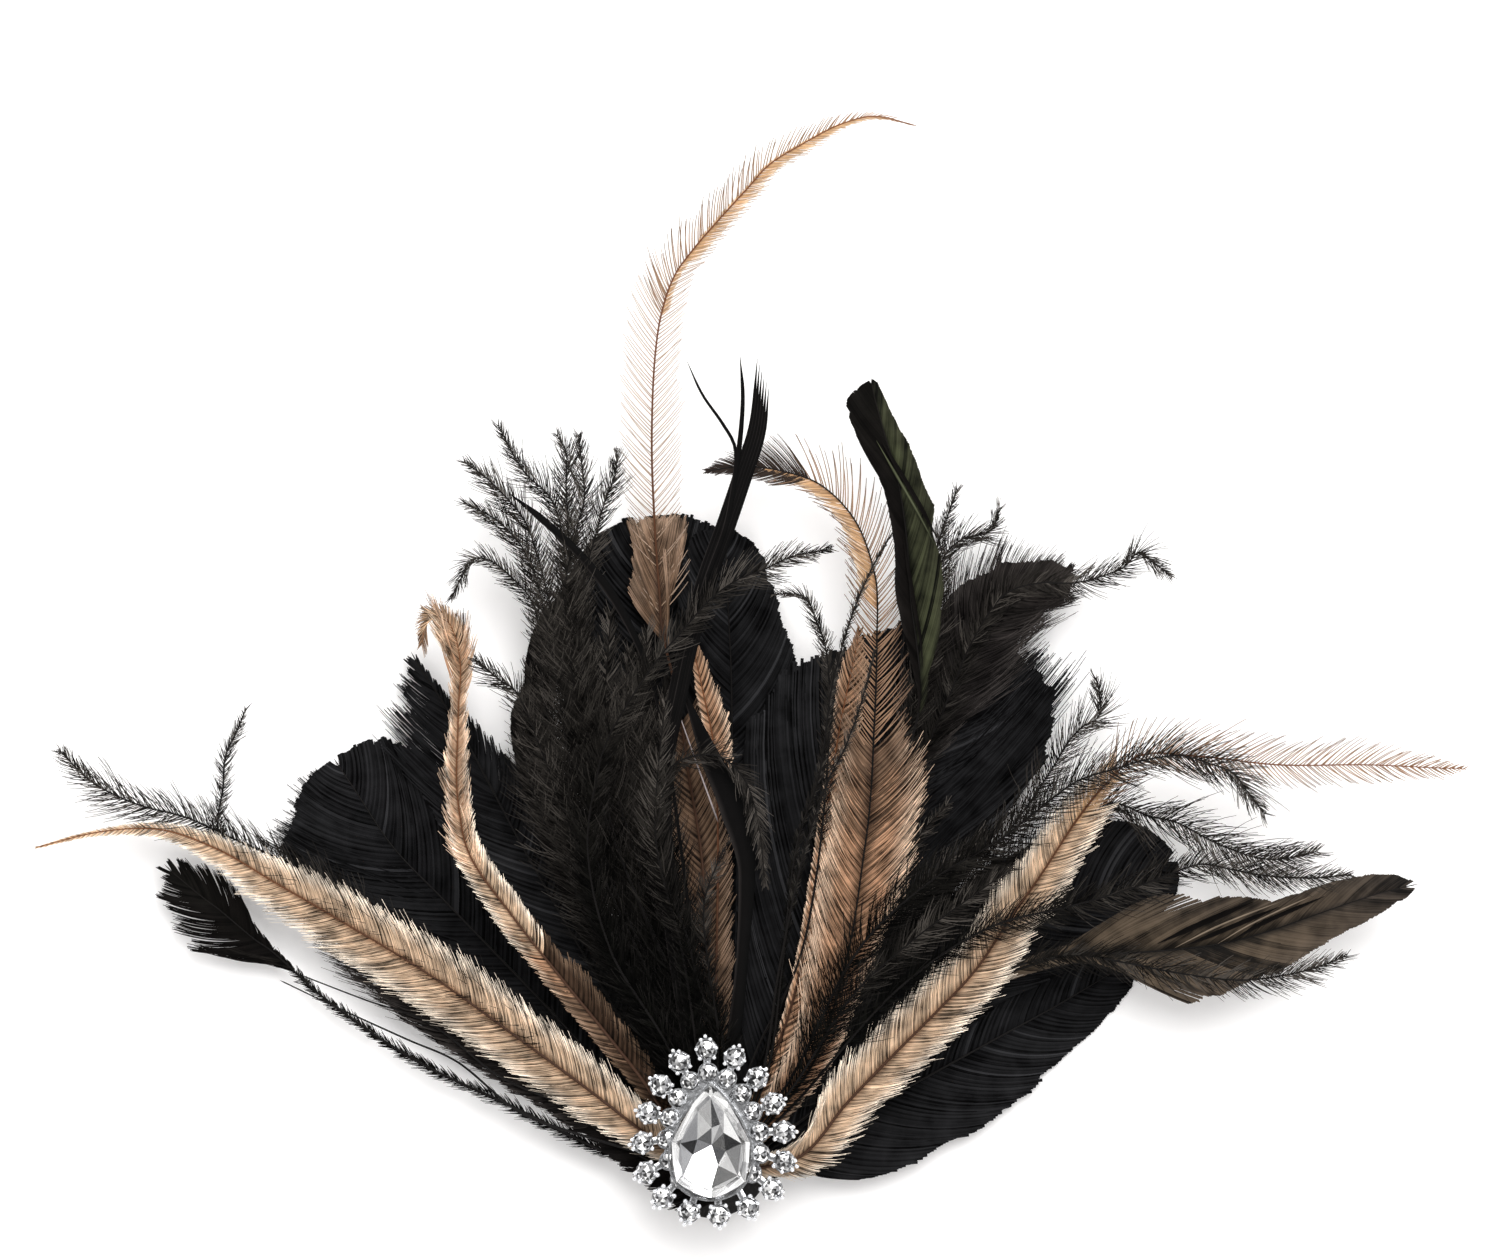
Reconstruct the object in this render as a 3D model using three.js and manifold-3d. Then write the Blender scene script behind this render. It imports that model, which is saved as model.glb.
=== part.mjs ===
// Flapper headpiece: a fan of feathers on a felt pad, with a hair clip behind and a brooch in front.
// It lies on its back. +Z points up out of the brooch, +Y runs up the fan, +X is to the viewer's right.
// Sizes are millimetres, and the origin is the centre of the clip's flat underside.
import * as THREE from "three";
import { mergeVertices } from "three/addons/utils/BufferGeometryUtils.js";
import Module from "manifold-3d";

const solids = await Module();
solids.setup();

// Driving sizes of the hidden parts: a strip of steel bent back on itself, and an oval of felt.
const SEAT_GAP = 0.3;
const CLIP = { length: 38, width: 8, wall: 0.9, mouth: 1.8 };
const PAD = { width: 28, height: 32, thick: 1.5, centreY: -1 };

// The feathers lie in layers that share one apex under the brooch. The lowest layer droops to the floor,
// and each layer above it lies one pitch higher and lifts a little more with every millimetre outwards.
const APEX = { x: 0, y: -8 };
const LAYERS = { top: 10, pitch: 0.78, rest: 0.26, droopFrom: 22, droopTo: 102, liftFrom: 30, lift: 0.015 };
const VANE = { edge: 0.3, shaft: 0.48, quill: 0.5, tip: 0.3 };

// Driving sizes of the brooch: a pear stone in a cup, with rays of two round stones around it. The stones
// stand on egg-shaped lines given as half width and half height. The pear covers the lowest inner stones.
const PEAR = { halfWidth: 9, halfHeight: 12.5, fullness: 0.8, table: 0.6 };
const PEAR_HEIGHTS = { crown: 2.4, girdle: 0.6, depth: 3.6 };
const RAYS = { count: 16, covered: -0.8, innerRadius: 1.9, outerRadius: 2.1 };
const EGG = { x: 0.4, y: 2.2, narrowing: 0.22, turn: 0.077 };
const EGGS = { plate: [10.6, 13.6], inner: [10.1, 13.1], outer: [15.3, 18.2], tip: [17.95, 20.85] };
const SETTING = { plate: 1.0, barWidth: 2.2, cupWall: 0.3, cupHeight: 1.3, wall: 0.7 };

const CLIP_TOP = 2 * CLIP.wall + CLIP.mouth;
const PAD_BOTTOM = CLIP_TOP + SEAT_GAP;
const PAD_TOP = PAD_BOTTOM + PAD.thick;
const LAYER_BASE = PAD_TOP + SEAT_GAP + VANE.shaft / 2;
const BROOCH_BASE = LAYER_BASE + LAYERS.top * LAYERS.pitch + VANE.shaft / 2 + SEAT_GAP;

// Outline shapes of the vanes. The bare quill ends at `bare`, the vane opens over `rise`, closes over
// `taper` with the given roundness, and its barbs sweep forward by `sweep` for each millimetre of width.
const SHAPES = {
  fan: { bare: 0.06, rise: 0.5, taper: 0.3, round: 2.2, sweep: 0.75, notch: 0.24, locks: 9 },
  fanLow: { bare: 0.04, rise: 0.26, taper: 0.42, round: 2.0, sweep: 0.75, notch: 0.24, locks: 9 },
  plume: { bare: 0.07, rise: 0.14, taper: 0.5, round: 1.7, sweep: 0.6, notch: 0.24, locks: 11 },
  hook: { bare: 0.07, rise: 0.14, taper: 0.35, round: 1.6, sweep: 0.35, notch: 0.24, locks: 15 },
  coque: { bare: 0.5, rise: 0.14, taper: 0.3, round: 2.2, sweep: 0.9, notch: 0.24, locks: 11 },
  spade: { bare: 0.74, rise: 0.08, taper: 0.15, round: 2.4, sweep: 0.8, notch: 0.24, locks: 12 },
  blade: { bare: 0.0, rise: 0.2, taper: 0.7, round: 1.3, sweep: 0.3, notch: 0.24, locks: 7 },
};

// One row per feather. `path` is the shaft in plan from the quill's end to the tip, `left` and `right` are
// the widths of the two vanes seen along the path, and a larger `layer` lies nearer the viewer.
const FEATHERS = [
  { name: "fan_left_outer", kind: "goose", shape: "fan", layer: 0, left: 18, right: 22,
    path: [[-1.5, -8], [-12, 3], [-33, 26], [-58, 52], [-72, 67], [-79, 80]] },
  { name: "fan_left_inner", kind: "goose", shape: "fan", layer: 1, left: 12, right: 11,
    path: [[-1.5, -8], [-11, 11], [-40, 62], [-55, 89], [-64, 106]] },
  { name: "fan_centre_left", kind: "goose", shape: "fan", layer: 0, left: 19, right: 11,
    path: [[0, -5.5], [-5, 20], [-11, 75], [-14, 116], [-15, 134]] },
  { name: "fan_centre_right", kind: "goose", shape: "fan", layer: 1, left: 9, right: 12,
    path: [[0, -5.5], [3, 22], [6, 75], [5, 114], [2, 133]] },
  { name: "fan_right_upper", kind: "goose", shape: "fan", layer: 2, left: 24, right: 24,
    path: [[1.5, -8], [12, 12], [31, 57], [48, 90], [60, 107]] },
  { name: "fan_right_mid", kind: "goose", shape: "fan", layer: 1, left: 13, right: 14,
    path: [[1.5, -8], [18, 2], [48, 31], [79, 52], [99, 61]] },
  { name: "fan_right_lower", kind: "goose", shape: "fanLow", layer: 0, left: 12, right: 16,
    path: [[1.5, -8], [20, -1], [42, 11], [70, 26], [91, 38]] },
  { name: "fluff_right", kind: "goose", shape: "coque", layer: 3, left: 8, right: 8,
    path: [[1.5, -8], [20, 40], [42, 79], [57, 108], [65, 118], [79, 122]] },
  { name: "plume_left_long", kind: "tan", shape: "plume", layer: 5, left: 7, right: 7,
    path: [[-1.5, -8], [-15, 3], [-39, 20], [-61, 36], [-84, 50], [-108, 64], [-121, 68], [-134, 68],
      [-149, 64]] },
  { name: "plume_left_curled", kind: "tan", shape: "hook", layer: 6, left: 4, right: 4,
    path: [[-1.5, -8], [-14, 12], [-33, 36], [-44, 50], [-53, 63], [-56, 80], [-56, 104], [-58, 112],
      [-63, 114]] },
  { name: "plume_top_tall", kind: "tan", shape: "hook", layer: 2, left: 6, right: 6,
    path: [[0, -5.5], [0, 22], [-2, 52], [-4, 81], [-9, 116], [-13, 145], [-12, 172], [-8, 190], [2, 203],
      [12, 214], [28, 223], [45, 223]] },
  { name: "plume_centre_narrow", kind: "tan", shape: "plume", layer: 4, left: 4, right: 4,
    path: [[0, -5.5], [1, 30], [1.5, 70], [0.6, 87], [-1.6, 98], [-5, 112.5]] },
  { name: "plume_right_behind", kind: "tan", shape: "plume", layer: 6, left: 5, right: 5,
    path: [[1.5, -8], [11, 12], [20, 31], [24, 64], [28, 92], [32, 110]] },
  { name: "plume_right_upright", kind: "tan", shape: "hook", layer: 7, left: 8, right: 8,
    path: [[1.5, -8], [16, 11], [29, 41], [34, 65], [36, 95], [36, 122], [32, 136], [24, 144], [12, 148],
      [-1, 147]] },
  { name: "plume_right_low", kind: "tan", shape: "hook", layer: 8, left: 7, right: 6,
    path: [[1.5, -8], [20, -3], [30, 9], [49, 28], [66, 50], [80, 70], [88, 79], [98, 84], [124, 83],
      [144, 83], [161, 82]] },
  { name: "coque_left_spade", kind: "coque", shape: "spade", layer: 2, left: 10, right: 11,
    path: [[-1.5, -8], [-14, -5], [-25, -2], [-44, 8], [-64, 17], [-85, 31], [-93, 38], [-106, 49],
      [-118, 60]] },
  { name: "coque_left_under", kind: "coque", shape: "plume", layer: 3, left: 5, right: 5,
    path: [[-1.5, -8], [-14, -4], [-24, 2], [-38, 11], [-53, 22], [-66, 34], [-78, 45], [-87, 52]] },
  { name: "coque_centre_left", kind: "coque", shape: "plume", layer: 3, left: 5, right: 5,
    path: [[0, -5.5], [-7, 20], [-24, 46], [-38, 84], [-38, 94], [-36, 110], [-29, 125]] },
  { name: "coque_bronze", kind: "coque", shape: "coque", layer: 5, left: 10, right: 11,
    path: [[1.5, -8], [20, 4], [53, 31], [79, 41], [100, 42], [122, 46], [148, 53], [157, 56]] },
  { name: "coque_green", kind: "coque", shape: "coque", layer: 9, left: 5, right: 5,
    path: [[1.5, -8], [15, 13], [37, 64], [46, 98], [47, 116], [45, 131], [42, 147], [37, 158], [32, 167]] },
  { name: "biot_left", kind: "biot", shape: "blade", layer: 7, left: 1.4, right: 1.4,
    path: [[0, -5.5], [-6, 60], [-13, 101], [-21, 118], [-32, 132], [-44, 142]] },
  { name: "biot_centre_blade", kind: "biot", shape: "blade", layer: 10, left: 2.4, right: 2.4,
    path: [[0, -5.5], [3.5, 14], [5.7, 28.6], [7, 42], [7.8, 55], [7.7, 62], [4.6, 73.8], [-0.2, 84.5],
      [-6.4, 100]] },
];

// One row per spray: strands with short barbules, fused where a strand starts on an earlier one. A strand
// is bare from its start up to the `bare` share of its length.
const SPRAYS = [
  { name: "spray_left", kind: "ostrich", layer: 4, reach: 3.2, strands: [
    { bare: 0.3, path: [[-1.5, -8], [-16, 9], [-62, 40], [-93, 61], [-115, 71], [-126, 74], [-136, 79],
      [-143, 86]] },
    { bare: 0, path: [[-93, 61], [-102, 63], [-107, 71], [-107, 82], [-102, 95]] },
  ] },
  { name: "spray_middle", kind: "ostrich", layer: 5, reach: 4, strands: [
    { bare: 0.2, path: [[0, -5.5], [-16, 30], [-32, 62], [-38, 85], [-41, 105]] },
    { bare: 0.3, path: [[0, -5.5], [-11, 32], [-22, 68], [-27, 98], [-26, 118]] },
    { bare: 0.3, path: [[0, -5.5], [-5, 34], [-12, 70], [-15, 98], [-14, 118]] },
  ] },
  { name: "spray_top", kind: "ostrich", layer: 6, reach: 3, strands: [
    { bare: 0.5, path: [[0, -5.5], [-8, 21], [-24, 64], [-30, 100], [-32, 125], [-36, 141], [-47, 157]] },
    { bare: 0.2, path: [[-30, 100], [-36, 122], [-44, 140], [-54, 149]] },
    { bare: 0.2, path: [[-30, 100], [-38, 122], [-47, 136], [-55, 140]] },
    { bare: 0.2, path: [[-30, 100], [-38, 116], [-45, 125], [-52, 127], [-57, 119]] },
    { bare: 0.2, path: [[-32, 125], [-32, 143], [-34, 155]] },
    { bare: 0.2, path: [[-30, 100], [-28, 125], [-28, 146], [-29, 155]] },
    { bare: 0.2, path: [[-30, 100], [-26, 120], [-22, 140], [-20, 153]] },
    { bare: 0.2, path: [[-24, 64], [-34, 82], [-43, 98], [-52, 106]] },
  ] },
  { name: "biot_bundle", kind: "biot", layer: 8, reach: 1.6, strands: [
    { bare: 0, path: [[0, -5.5], [-4, 20], [-8, 45], [-10.6, 70], [-9.7, 86.5], [-5, 108.5], [-1, 123],
      [5, 138], [9, 153], [11, 169]] },
    { bare: 0, path: [[-1, 123], [4, 140], [6.6, 156], [6.2, 173]] },
    { bare: 0.3, path: [[5, 138], [4, 155], [-1, 163], [-6, 172]] },
  ] },
  { name: "spray_centre", kind: "ostrich", layer: 9, reach: 3, strands: [
    { bare: 0.1, path: [[0, -5.5], [-9, 20], [-22, 42], [-27, 64], [-23, 88], [-11, 106], [0, 119], [12, 126],
      [27, 130]] },
    { bare: 0.1, path: [[0, -5.5], [10, 20], [20, 46], [26, 92], [24, 112], [19, 120], [13, 120]] },
  ] },
  { name: "spray_right_under", kind: "ostrich", layer: 4, reach: 3, strands: [
    { bare: 0.45, path: [[1.5, -8], [17, 20], [42, 84], [49, 110], [51, 127], [56, 132], [64, 139]] },
    { bare: 0.2, path: [[49, 110], [48, 126], [49, 138], [55, 143]] },
    { bare: 0.3, path: [[42, 84], [52, 101], [65, 119], [79, 122], [90, 126], [95, 128], [102, 124]] },
    { bare: 0.3, path: [[17, 20], [42, 46], [64, 66], [76, 83], [82, 91], [85, 96], [84, 102]] },
    { bare: 0.3, path: [[42, 46], [64, 56], [86, 67], [100, 69], [113, 64], [126, 62], [134, 64]] },
  ] },
  { name: "spray_right_over", kind: "ostrich", layer: 10, reach: 3, strands: [
    { bare: 0.12, path: [[1.5, -8], [15, 18], [23, 79], [29, 108], [34, 123], [40, 134]] },
    { bare: 0.12, path: [[1.5, -8], [17, 11], [33, 40], [64, 65], [80, 79], [96, 84], [109, 83], [122, 71]] },
    { bare: 0.12, path: [[1.5, -8], [18, 8], [42, 34], [61, 47], [80, 52], [101, 59], [113, 60], [131, 58],
      [141, 59]] },
    { bare: 0.12, path: [[1.5, -8], [21, 2], [48, 29], [69, 39], [91, 38], [116, 34], [127, 36], [140, 41]] },
  ] },
];
const STRAND = { rise: 0.2, taper: 0.3, round: 1.5, sweep: 0.7, notch: 0.45, lockLength: 23 };

const MATERIALS = {
  goose: new THREE.MeshStandardMaterial({ name: "goose_black", color: 0x14161b, roughness: 0.6 }),
  ostrich: new THREE.MeshStandardMaterial({ name: "ostrich_black", color: 0x1c1917, roughness: 0.85 }),
  coque: new THREE.MeshStandardMaterial({ name: "coque_sheen", color: 0x2a2c20, roughness: 0.4 }),
  biot: new THREE.MeshStandardMaterial({ name: "biot_black", color: 0x141312, roughness: 0.4 }),
  tan: new THREE.MeshStandardMaterial({ name: "tan_plume", color: 0xb08664, roughness: 0.85 }),
  felt: new THREE.MeshStandardMaterial({ name: "felt_black", color: 0x161514, roughness: 0.95 }),
  steel: new THREE.MeshStandardMaterial({ name: "steel", color: 0xb9bcc0, metalness: 1, roughness: 0.3 }),
  silver: new THREE.MeshStandardMaterial({ name: "silver", color: 0xd5d7da, metalness: 1, roughness: 0.15 }),
  crystal: new THREE.MeshStandardMaterial({ name: "crystal", color: 0xf2f4f6, roughness: 0.03 }),
};

// Drops the shading data so that corners at the same place become one vertex of a closed solid.
function weld(geometry) {
  const bare = new THREE.BufferGeometry();
  bare.setAttribute("position", geometry.getAttribute("position").clone());
  bare.setIndex(geometry.getIndex());
  return mergeVertices(bare, 1e-4);
}

function toSolid(geometry) {
  const welded = weld(geometry);
  const mesh = new solids.Mesh({
    numProp: 3,
    vertProperties: Float32Array.from(welded.getAttribute("position").array),
    triVerts: Uint32Array.from(welded.getIndex().array),
  });
  return new solids.Manifold(mesh);
}

function joined(geometries) {
  const mesh = solids.Manifold.union(geometries.map(toSolid)).getMesh();
  const geometry = new THREE.BufferGeometry();
  geometry.setAttribute("position", new THREE.BufferAttribute(Float32Array.from(mesh.vertProperties), 3));
  geometry.setIndex(Array.from(mesh.triVerts));
  return geometry;
}

function smooth(value) {
  const t = Math.min(Math.max(value, 0), 1);
  return t * t * (3 - 2 * t);
}

// Height of the middle of a feather layer above the floor at a place in plan.
function layerHeight(layer, x, y) {
  const reach = Math.hypot(x - APEX.x, y - APEX.y);
  const droop = smooth((reach - LAYERS.droopFrom) / (LAYERS.droopTo - LAYERS.droopFrom));
  const ground = LAYER_BASE + (LAYERS.rest - LAYER_BASE) * droop;
  return ground + layer * (LAYERS.pitch + LAYERS.lift * Math.max(0, reach - LAYERS.liftFrom));
}

function planCurve(path) {
  return new THREE.CatmullRomCurve3(path.map(([x, y]) => new THREE.Vector3(x, y, 0)));
}

// Share of the full vane width at a place along the shaft, from 0 on the bare quill to 1 at the widest.
function vaneFullness(shape, t) {
  const opening = smooth((t - shape.bare) / shape.rise);
  const fromTip = Math.max(0, (t - 1 + shape.taper) / shape.taper);
  const closing = (1 - Math.min(1, fromTip) ** shape.round) ** (1 / shape.round);
  return opening * closing;
}

// A feather is lofted from six-cornered sections: two thin edges and a thicker shaft between them.
// Every other section is notched, so that the edges read as locks of barbs.
function vaneGeometry({ path, shape, layer, left, right }) {
  const curve = planCurve(path);
  const count = 2 * shape.locks + 1;
  const positions = [];
  const indices = [];
  for (let i = 0; i <= count; i += 1) {
    const t = i / count;
    const centre = curve.getPointAt(t);
    const ahead = curve.getTangentAt(t);
    const fullness = vaneFullness(shape, t) * (i % 2 === 0 ? 1 - shape.notch : 1);
    const place = (width, side) => {
      const along = width * shape.sweep * fullness;
      const across = side * (width * fullness + (t < 1 ? VANE.quill : VANE.tip));
      return [centre.x + ahead.x * along - ahead.y * across, centre.y + ahead.y * along + ahead.x * across];
    };
    const corners = [
      { at: place(left, 1), up: VANE.edge / 2 },
      { at: [centre.x, centre.y], up: VANE.shaft / 2 },
      { at: place(right, -1), up: VANE.edge / 2 },
      { at: place(right, -1), up: -VANE.edge / 2 },
      { at: [centre.x, centre.y], up: -VANE.shaft / 2 },
      { at: place(left, 1), up: -VANE.edge / 2 },
    ];
    corners.forEach(({ at: [x, y], up }) => positions.push(x, y, layerHeight(layer, x, y) + up));
  }
  const ring = 6;
  for (let i = 0; i < count; i += 1) {
    for (let j = 0; j < ring; j += 1) {
      const a = i * ring + j;
      const b = i * ring + ((j + 1) % ring);
      indices.push(a, b, a + ring, b, b + ring, a + ring);
    }
  }
  const last = count * ring;
  for (let j = 1; j < ring - 1; j += 1) {
    indices.push(0, j + 1, j, last, last + j, last + j + 1);
  }
  const geometry = new THREE.BufferGeometry();
  geometry.setAttribute("position", new THREE.Float32BufferAttribute(positions, 3));
  geometry.setIndex(indices);
  return geometry;
}

function featherGeometry(feather) {
  return vaneGeometry({ ...feather, shape: SHAPES[feather.shape] });
}

// The strands of a spray are narrow vanes in one layer, fused into one piece.
function sprayGeometry(spray) {
  const strands = spray.strands.map(({ bare, path }) => {
    const locks = Math.round(planCurve(path).getLength() / STRAND.lockLength);
    const shape = { ...STRAND, bare, locks };
    return vaneGeometry({ path, shape, layer: spray.layer, left: spray.reach, right: spray.reach });
  });
  return joined(strands);
}

// Outline of the pear stone, or of a line drawn a given distance outside it. Angle 0 is the point.
function pearPoint(angle, offset = 0) {
  const spread = PEAR.halfWidth / 0.803;
  const at = (a) => new THREE.Vector2(
    spread * Math.sin(a) * Math.abs(Math.sin(a / 2)) ** PEAR.fullness,
    PEAR.halfHeight * Math.cos(a),
  );
  const step = 0.01;
  const run = at(angle + step).sub(at(angle - step)).normalize();
  return at(angle).add(new THREE.Vector2(-run.y, run.x).multiplyScalar(offset));
}

function pearRing(count, offset) {
  return Array.from({ length: count }, (_, i) => pearPoint((-2 * Math.PI * i) / count, offset));
}

// A point on an egg-shaped line around the pear. Turn 0 is the top of the line.
function eggPoint(turn, [halfWidth, halfHeight]) {
  const wide = halfWidth * Math.sin(turn) * (1 - EGG.narrowing * Math.cos(turn));
  const place = new THREE.Vector2(wide, halfHeight * Math.cos(turn));
  return place.rotateAround(new THREE.Vector2(), EGG.turn).add(new THREE.Vector2(EGG.x, EGG.y));
}

function eggRing(count, line) {
  return Array.from({ length: count }, (_, i) => eggPoint((-2 * Math.PI * i) / count, line));
}

function plate(outline, bottom, thick) {
  const geometry = new THREE.ExtrudeGeometry(new THREE.Shape(outline), { depth: thick, bevelEnabled: false });
  return geometry.translate(0, 0, bottom);
}

// A round stone in its cup, turned as one profile: cup wall, rim, sloping facets and a flat table.
function stoneInCup(radius, x, y, turn) {
  const rim = radius + SETTING.cupWall;
  const profile = [[0, 0], [rim, 0], [rim, SETTING.cupHeight], [radius, SETTING.cupHeight + 0.1],
    [radius * 0.55, SETTING.cupHeight + radius * 0.45], [0, SETTING.cupHeight + radius * 0.45]];
  const turned = new THREE.LatheGeometry(profile.map(([r, z]) => new THREE.Vector2(r, z)), 8);
  return turned.rotateX(Math.PI / 2).rotateZ(turn).translate(x, y, BROOCH_BASE + SETTING.plate - 0.2);
}

function prong(x, y, radius, height) {
  const peg = new THREE.CylinderGeometry(radius * 0.7, radius, height, 5);
  return peg.rotateX(Math.PI / 2).translate(x, y, BROOCH_BASE + 0.1 + height / 2);
}

const GIRDLE_HEIGHT = BROOCH_BASE + SETTING.plate + PEAR_HEIGHTS.depth + 0.3;

// The setting: an egg-shaped plate, a cup wall around the stone, claws on the wall, and the rays.
function haloGeometry() {
  const wallTop = GIRDLE_HEIGHT - 0.8 - BROOCH_BASE;
  const wall = new THREE.Shape(pearRing(24, SETTING.wall));
  wall.holes.push(new THREE.Path(pearRing(24, -SETTING.wall)));
  const cup = new THREE.ExtrudeGeometry(wall, { depth: wallTop, bevelEnabled: false });
  const pieces = [
    plate(eggRing(24, EGGS.plate), BROOCH_BASE, SETTING.plate),
    cup.translate(0, 0, BROOCH_BASE),
  ];
  for (let i = 0; i < RAYS.count; i += 1) {
    const turn = rayTurn(i);
    const inner = eggPoint(turn, EGGS.inner);
    const outer = eggPoint(turn, EGGS.outer);
    const tip = eggPoint(turn, EGGS.tip);
    const away = outer.clone().sub(inner).normalize();
    const across = new THREE.Vector2(-away.y, away.x);
    const bar = [1, -1].map((side) => across.clone().multiplyScalar((side * SETTING.barWidth) / 2));
    const corners = [inner.clone().add(bar[1]), tip.clone().addScaledVector(bar[1], 0.5),
      tip.clone().addScaledVector(bar[0], 0.5), inner.clone().add(bar[0])];
    pieces.push(plate(corners, BROOCH_BASE, SETTING.plate));
    if (Math.cos(turn) > RAYS.covered) {
      pieces.push(stoneInCup(RAYS.innerRadius, inner.x, inner.y, Math.atan2(away.y, away.x)));
    }
    pieces.push(stoneInCup(RAYS.outerRadius, outer.x, outer.y, Math.atan2(away.y, away.x)));
    pieces.push(prong(tip.x, tip.y, 0.65, 2.5));
    if (i % 2 === 0) {
      const claw = pearPoint(rayTurn(i + 0.5), SETTING.wall + 0.35);
      pieces.push(prong(claw.x, claw.y, 0.55, wallTop + 1.6));
    }
  }
  return joined(pieces);
}

// Rays are spread evenly along the line of the outer stones, found by walking around it.
function rayTurn(index) {
  const steps = 720;
  const turns = Array.from({ length: steps + 1 }, (_, i) => (2 * Math.PI * i) / steps);
  const points = turns.map((turn) => eggPoint(turn, EGGS.outer));
  const walked = [0];
  for (let i = 1; i <= steps; i += 1) {
    walked.push(walked[i - 1] + points[i].distanceTo(points[i - 1]));
  }
  const target = (walked[steps] * index) / RAYS.count;
  return turns[walked.findIndex((length) => length >= target - 1e-9)];
}

// The pear stone: a keel, a girdle band, sloping crown facets and a flat table.
function pearGeometry() {
  const count = 16;
  const rings = [
    { scale: 0.16, z: -PEAR_HEIGHTS.depth },
    { scale: 1, z: 0 },
    { scale: 1, z: PEAR_HEIGHTS.girdle },
    { scale: PEAR.table, z: PEAR_HEIGHTS.crown },
  ];
  const centreY = -2;
  const positions = [];
  rings.forEach(({ scale, z }) => pearRing(count, 0).forEach((point) => {
    positions.push(point.x * scale, centreY + (point.y - centreY) * scale, GIRDLE_HEIGHT + z);
  }));
  const indices = [];
  for (let ring = 0; ring < rings.length - 1; ring += 1) {
    for (let j = 0; j < count; j += 1) {
      const a = ring * count + j;
      const b = ring * count + ((j + 1) % count);
      indices.push(a, b, a + count, b, b + count, a + count);
    }
  }
  const top = (rings.length - 1) * count;
  for (let j = 1; j < count - 1; j += 1) {
    indices.push(0, j + 1, j, top, top + j, top + j + 1);
  }
  const geometry = new THREE.BufferGeometry();
  geometry.setAttribute("position", new THREE.Float32BufferAttribute(positions, 3));
  geometry.setIndex(indices);
  return geometry;
}

// The clip seen from its side is a hairpin: two flat leaves joined by a round bend at one end.
function clipGeometry() {
  const half = CLIP.length / 2;
  const middle = CLIP_TOP / 2;
  const profile = new THREE.Shape();
  profile.moveTo(half, 0);
  profile.lineTo(half, CLIP.wall);
  profile.lineTo(-half, CLIP.wall);
  profile.absarc(-half, middle, CLIP.mouth / 2, -Math.PI / 2, Math.PI / 2, true);
  profile.lineTo(half, CLIP.wall + CLIP.mouth);
  profile.lineTo(half, CLIP_TOP);
  profile.lineTo(-half, CLIP_TOP);
  profile.absarc(-half, middle, CLIP_TOP / 2, Math.PI / 2, -Math.PI / 2, false);
  const settings = { depth: CLIP.width, bevelEnabled: false, curveSegments: 8 };
  const strip = new THREE.ExtrudeGeometry(profile, settings);
  return strip.rotateX(Math.PI / 2).translate(0, CLIP.width / 2, 0);
}

function padGeometry() {
  const oval = new THREE.Shape();
  oval.absellipse(0, PAD.centreY, PAD.width / 2, PAD.height / 2, 0, 2 * Math.PI);
  const felt = new THREE.ExtrudeGeometry(oval, { depth: PAD.thick, bevelEnabled: false, curveSegments: 16 });
  return felt.translate(0, 0, PAD_BOTTOM);
}

const group = new THREE.Group();
group.name = "flapper_headpiece";

function addPiece(name, geometry, material) {
  const mesh = new THREE.Mesh(weld(geometry), material);
  mesh.geometry.computeVertexNormals();
  mesh.name = name;
  group.add(mesh);
}

addPiece("hair_clip", clipGeometry(), MATERIALS.steel);
addPiece("felt_pad", padGeometry(), MATERIALS.felt);
FEATHERS.forEach((feather) => addPiece(feather.name, featherGeometry(feather), MATERIALS[feather.kind]));
SPRAYS.forEach((spray) => addPiece(spray.name, sprayGeometry(spray), MATERIALS[spray.kind]));
addPiece("stone_halo", haloGeometry(), MATERIALS.silver);
addPiece("pear_stone", pearGeometry(), MATERIALS.crystal);

export default group;
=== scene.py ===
# %% [markdown]
# # A flapper headpiece of feathers
#
# The headpiece is a fan of mixed feathers glued to a felt pad, with a stone brooch over the quills.
# It lies on its back on a pale table and is seen from straight above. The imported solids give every
# feather its place and its layer. This lesson dresses each of them with barbs, and cuts the stones.

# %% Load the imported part
import math
from dataclasses import dataclass

import bpy
import numpy as np
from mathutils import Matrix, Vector


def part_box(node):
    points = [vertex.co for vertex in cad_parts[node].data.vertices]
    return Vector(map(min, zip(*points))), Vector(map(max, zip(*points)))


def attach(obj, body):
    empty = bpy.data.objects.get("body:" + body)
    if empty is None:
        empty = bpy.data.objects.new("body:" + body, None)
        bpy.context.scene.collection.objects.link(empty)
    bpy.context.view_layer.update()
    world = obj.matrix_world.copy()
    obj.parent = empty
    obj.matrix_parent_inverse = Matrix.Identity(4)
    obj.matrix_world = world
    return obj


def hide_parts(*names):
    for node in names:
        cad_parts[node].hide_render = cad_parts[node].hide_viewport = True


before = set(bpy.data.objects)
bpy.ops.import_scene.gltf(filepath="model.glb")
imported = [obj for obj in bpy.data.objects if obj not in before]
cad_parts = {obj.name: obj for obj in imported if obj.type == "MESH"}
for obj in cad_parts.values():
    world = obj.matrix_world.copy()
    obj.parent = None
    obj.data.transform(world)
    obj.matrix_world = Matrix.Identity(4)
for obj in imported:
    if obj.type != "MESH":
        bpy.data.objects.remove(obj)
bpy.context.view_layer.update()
print("solids in the frame:", len(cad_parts))

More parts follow.
